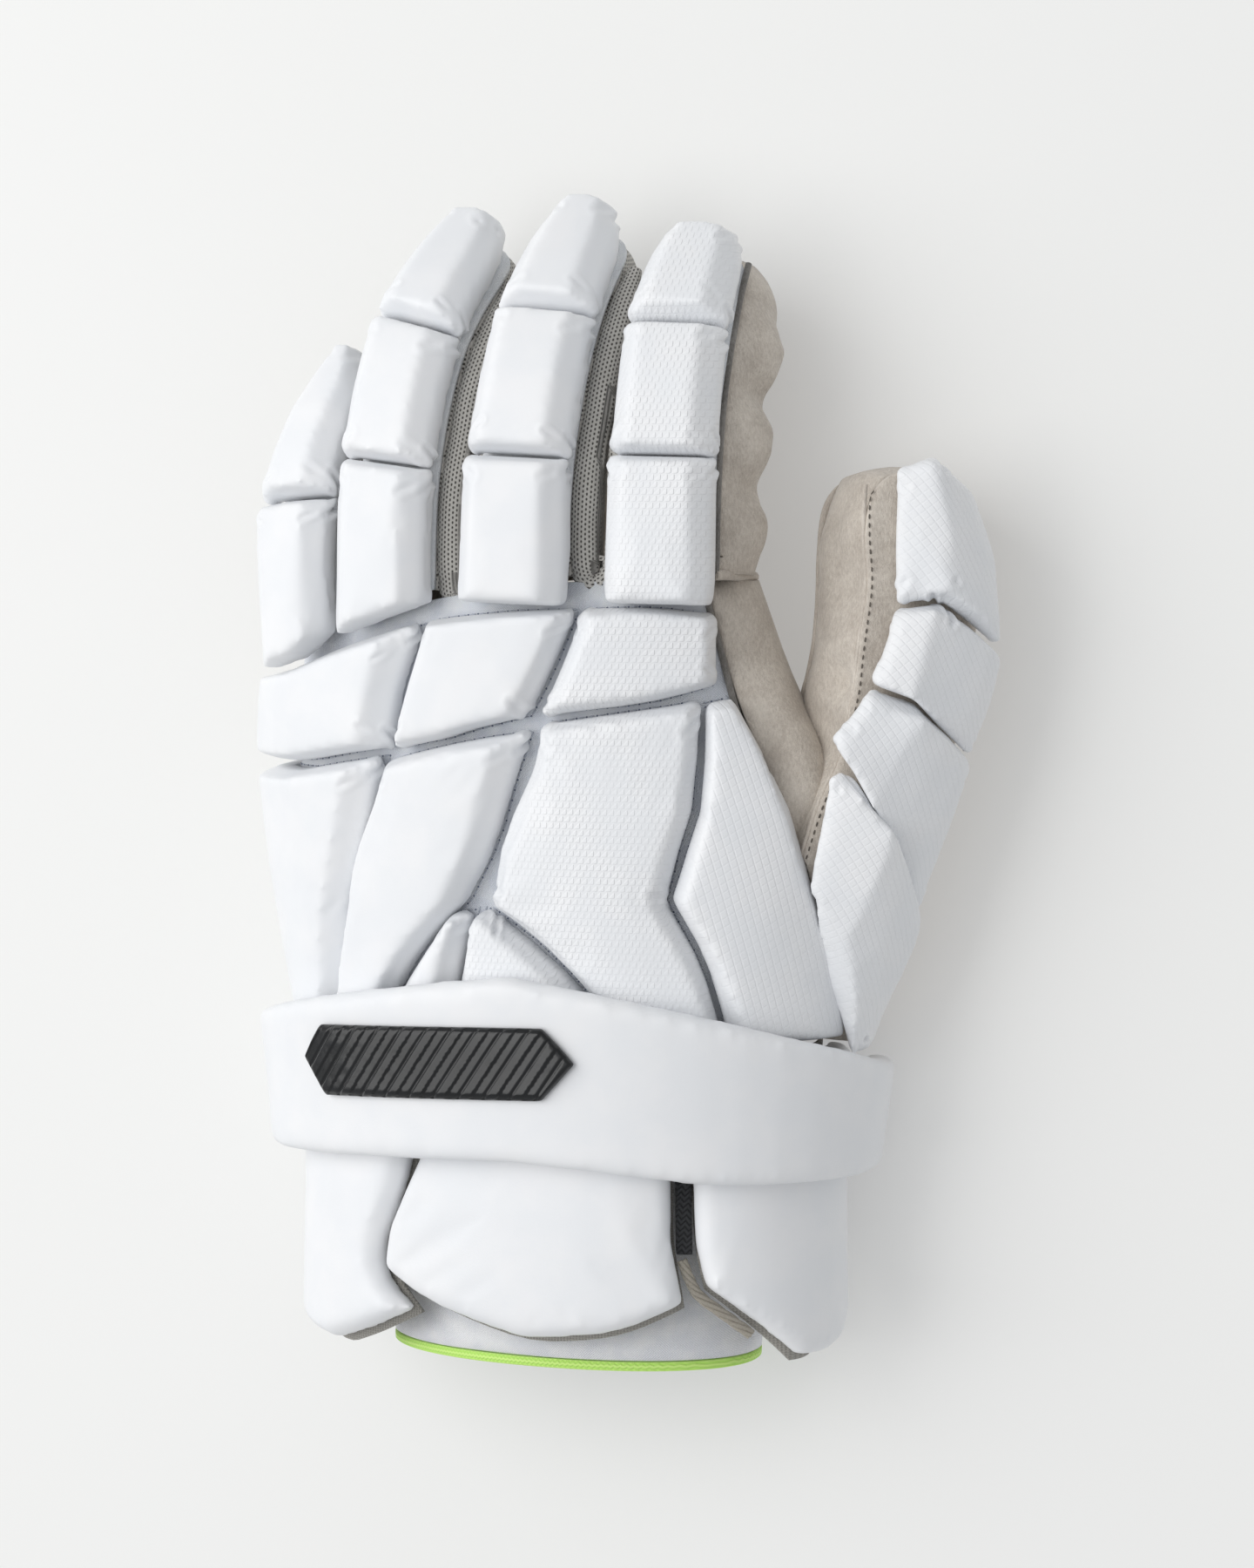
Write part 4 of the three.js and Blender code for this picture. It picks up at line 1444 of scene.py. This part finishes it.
@dataclass
class Hand:
    """The hand's white backing, suede palm and the thumb's suede case, with the stitches in the grooves."""

    pads: tuple[str, ...]
    index: Case
    stitch_offset: float = 0.9 * MM
    hollows: tuple[Dent, ...] = ()

    def build(self) -> None:
        """Build the hand's shell, the thumb's case and the stitches."""
        Skin("hand_backing", GROOVES_PAINTED_SHADE, 1, 0.9).build()
        web = dents_at(PALM_BULGES, Vector((0.75, 0.0, 0.65)))
        Skin("palm", SUEDE, 1, 0.9, 0.3 * MM, 14 * MM, dents=web).build()
        self.hollows = dents_at(THUMB_HOLLOWS, Vector((0.6, 0.0, -0.8)))
        Skin("thumb_suede_wall", SUEDE, 2, 0.6, 1.0 * MM, 11 * MM, dents=self.hollows).build()
        Skin("thumb_backing", SUEDE, 2, 0.8, 0.3 * MM, 11 * MM, dents=self.hollows).build()
        Skin("thumb_palm_strip", SUEDE, 2, 0.6, 0.5 * MM).build()
        self.sew_grooves()
        self.sew_suede()

    def sew_suede(self) -> None:
        """Lay the piping beside the index pads and sew the thumb's seam."""
        side = self.index.half + 0.3 * MM
        edge = [self.index.place(side, share, 15 * MM) for share in (0.96, 0.8, 0.6, 0.4, 0.2, 0.02)]
        piping = smooth_line([*edge, *from_source(*SUEDE_EDGE)])
        join_glove(tube("index_piping", piping, 0.95 * MM, 3), PIPING)
        seam = smooth_line(from_source(*THUMB_SEAM))
        seam = [sum((dent.move(point) for dent in self.hollows), point) for point in seam]
        join_glove(tube("thumb_seam", [point - UP * (0.4 * MM) for point in seam], 0.7 * MM, 3), SUEDE)
        ground = surface_of("thumb_backing", "thumb_suede_wall")
        sewn = Stitches("suede_stitches", GREY_THREAD, ground, 2.4 * MM, 0.8 * MM)
        sewn.lay([point + Vector((1.6 * MM, 0.0, 0.0)) for point in seam], 3 * MM)
        sewn.build()
        hem = smooth_line(from_source(*INDEX_HEM))
        join_glove(tube("index_hem", hem, 1.5 * MM, 3), SUEDE)
        sewn = Stitches("hem_stitches", GREY_THREAD, surface_of("index_suede_wall"), 2.2 * MM, 0.7 * MM)
        sewn.lay([point + Vector((0.0, 5 * MM, 0.0)) for point in hem[2:]], 4 * MM)
        sewn.build()

    def sew_grooves(self) -> None:
        """Sew a row of stitches round the foot of each pad on the back of the hand, with beads of painted
        shade at the needle holes.
        """
        ground = surface_of("hand_backing")
        thread = Stitches("groove_thread", WHITE_THREAD, ground, 3.0 * MM, 1.1 * MM, 0.3 * MM)
        # Small dark beads sunk at the needle holes beside the thread: painted shade.
        hole_shades = Stitches("groove_holes", STITCH_HOLE_SHADE, ground, 3.0 * MM, 0.38 * MM, 0.32 * MM, 0.1 * MM)
        for pad in self.pads:
            for line in foot_lines(pad, ground, self.stitch_offset):
                thread.lay(line, 2.5 * MM)
                hole_shades.lay([line[0] + (line[1] - line[0]).normalized() * 1.5 * MM, *line[1:]], 2.5 * MM)
        thread.build()
        hole_shades.build()


@dataclass
class Lace:
    """The sand-coloured lace: twisted strands that leave the tab and pass under the thumb flap."""

    knots: tuple[Colour, ...]
    diameter: float = 3.2 * MM
    strands: int = 5
    turns: float = 1.5

    def build(self) -> None:
        """Twist the strands round the middle line."""
        line = smooth_line(from_source(*self.knots), 15)
        thread = self.diameter * 0.2
        shape = bmesh.new()
        for strand in range(self.strands):
            path = []
            for i, point in enumerate(line):
                ahead, side = ways_at(line, i)
                angle = 2 * math.pi * (strand / self.strands + self.turns * i / len(line))
                out = side * math.cos(angle) + side.cross(ahead) * math.sin(angle)
                path.append(point + out * (self.diameter / 2 - thread))
            piece = tube("strand", path, thread, 1)
            shape.from_mesh(piece.data)
            bpy.data.objects.remove(piece)
        join_glove(placed(shape, "lace_strands"), LACE, "lace")


@dataclass
class Badge:
    """The plain black plate on the strap, cut by slanting grooves."""

    slant: float = -0.7
    pitch: float = 7.5 * MM
    depth: float = 0.5 * MM

    def build(self) -> None:
        """Round the plate's rim and cut its grooves."""
        plate = placed(merged("badge"), "badge_plate")
        evened(plate, 0.4 * MM)
        shape = bmesh.new()
        shape.from_mesh(plate.data)
        for _ in range(6):
            relax(shape, shape.verts)
        shape.to_mesh(plate.data)
        shape.free()
        lowest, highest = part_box("badge")
        middle = (lowest + highest) / 2
        moves = []
        for vert in plate.data.vertices:
            place = (vert.co.x - middle.x + self.slant * (vert.co.y - middle.y)) / self.pitch
            share = (place + 0.5) % 1 - 0.5
            groove = self.depth * math.exp(-((share * self.pitch / (0.45 * MM)) ** 2))
            top = rise(vert.normal.z, 0.4, 0.8)
            moves.append(Vector((0.0, 0.0, top * (share * 0.5 * MM - groove))))
        shift(plate, moves)
        join_glove(plate, BADGE, "badge")


@dataclass
class Cuff:
    """The cuff: linings under the flaps, the inner sleeve with its lime rim, the tab, lace and badge."""

    lace: Lace
    badge: Badge

    def build(self) -> None:
        """Build everything of the cuff but its pads."""
        for name in ("little", "middle", "thumb"):
            Skin(f"flap_{name}_lining", LINING, 1, 0.8, 0.25 * MM, 5 * MM).build()
        Skin("sleeve", SLEEVE, 2, 0.9, 0.35 * MM, 24 * MM).build()
        Skin("binding", BINDING, 2, 0.5).build()
        Skin("tab", WEBBING, 2, 0.7).build()
        self.lace.build()
        self.badge.build()


@dataclass
class Studio:
    """The camera at the photograph's angle, a pale floor and soft light from the upper left."""

    target: Colour = (14.0, 70.0, 40.0)
    distance: float = 1.1
    side_angle: float = 20.0
    rise_angle: float = 4.0
    focal: float = 89.76

    def build(self) -> None:
        """Set up camera, floor and light."""
        self.add_camera()
        self.add_floor()
        self.add_light("key", (-1.15, 0.4, 1.5), 2.0, 25, (1.0, 0.995, 0.985))
        self.add_light("top", (-0.3, 0.3, 2.0), 2.0, 6, (1.0, 1.0, 1.0))
        world = bpy.data.worlds.new("studio")
        world.use_nodes = True
        sky = world.node_tree.nodes["Background"].inputs
        sky[0].default_value = (0.975, 0.985, 1.0, 1.0)
        sky[1].default_value = 0.46
        bpy.context.scene.world = world
        bpy.context.scene.view_settings.view_transform = "Standard"

    def add_camera(self) -> None:
        """Aim the camera along the photograph's line of sight."""
        side, up = math.radians(self.side_angle), math.radians(self.rise_angle)
        back = Vector((math.sin(side) * math.cos(up), math.sin(up), math.cos(side) * math.cos(up)))
        right = Vector((math.cos(side), 0.0, -math.sin(side)))
        lens = bpy.data.cameras.new("camera")
        lens.lens = self.focal
        lens.sensor_width = 36
        lens.clip_start = 0.05
        camera = linked("camera", lens)
        turn = Matrix((right, back.cross(right), back)).transposed().to_4x4()
        camera.matrix_world = Matrix.Translation(from_source(self.target)[0] + back * self.distance) @ turn
        bpy.context.scene.camera = camera

    def add_floor(self) -> None:
        """Lay the floor just under the glove."""
        shape = bmesh.new()
        bmesh.ops.create_grid(shape, x_segments=2, y_segments=2, size=4.0)
        floor = placed(shape, "floor")
        floor.data.materials.append(FLOOR.material())

    def add_light(self, name: str, place: Colour, size: float, power: float, colour: Colour) -> None:
        """Hang a square soft light that faces the glove.

        Args:
            name: the light's name.
            place: where it hangs, in metres.
            size: its side.
            power: its power in watts.
            colour: its colour.
        """
        lamp = bpy.data.lights.new(name, "AREA")
        lamp.size = size
        lamp.energy = power
        lamp.color = colour
        away = Vector(place) - from_source(self.target)[0]
        turn = away.to_track_quat("Z", "Y").to_matrix().to_4x4()
        linked(name, lamp).matrix_world = Matrix.Translation(Vector(place)) @ turn


def finger_pads(finger: str, parts: tuple[str, ...], finish: Finish) -> list[Pad]:
    """List one finger's pads."""
    return [Pad(f"{finger}_pad_{part}", (f"{finger}_backing",), finish) for part in parts]


def all_pads() -> list[Pad]:
    """List every pad of the glove, with what carries it and its finish.

    Returns:
        The pads.
    """
    smooth = {"rounding": 6, "creased": False, "spread": 0.0}
    on_hand = ("hand_backing", "palm")
    on_thumb = ("thumb_backing", "thumb_suede_wall", "thumb_palm_strip")
    three = ("lower", "middle", "tip")
    toothed = {"knuckle_pad_index", "back_pad_index", "back_gusset_index"}
    columns = ("little", "middle", "index")
    hand = [f"{row}_pad_{column}" for row in ("knuckle", "back") for column in columns]
    hand += ["back_gusset_little", "back_gusset_index"]
    flaps = [f"flap_{name}" for name in ("little", "middle", "thumb")]
    return [
        *finger_pads("little", ("lower", "tip"), SMOOTH),
        *finger_pads("ring", three, SMOOTH),
        *finger_pads("middle", three, SMOOTH),
        *finger_pads("index", three, TOOTHED),
        *(Pad(node, on_hand, TOOTHED if node in toothed else SMOOTH) for node in hand),
        Pad("thumb_side_pad", on_hand, SIDE_LATTICE, creased=False),
        *(Pad(f"thumb_pad_{part}", on_thumb, THUMB_LATTICE, lean=0.6) for part in ("root", *three)),
        *(Pad(flap, (f"{flap}_lining",), voxel=1.5 * MM, **smooth) for flap in flaps),
        Pad("strap", (), voxel=1.8 * MM, cap=0.6 * MM, **smooth),
    ]


def main() -> None:
    """Build the scene in order."""
    logging.basicConfig(level=logging.INFO, format="%(message)s")
    Studio().build()
    padding = Padding(all_pads())
    padding.build()
    cases = {name: Case(name, *from_source(root), *rest) for name, (root, *rest) in CASES.items()}
    Fingers(**cases).build()
    hand_pads = tuple(pad.node for pad in padding.pads if "hand_backing" in pad.carriers)
    Hand(hand_pads, cases["index"]).build()
    Cuff(Lace(LACE_KNOTS), Badge()).build()


if __name__ == "__main__":
    main()
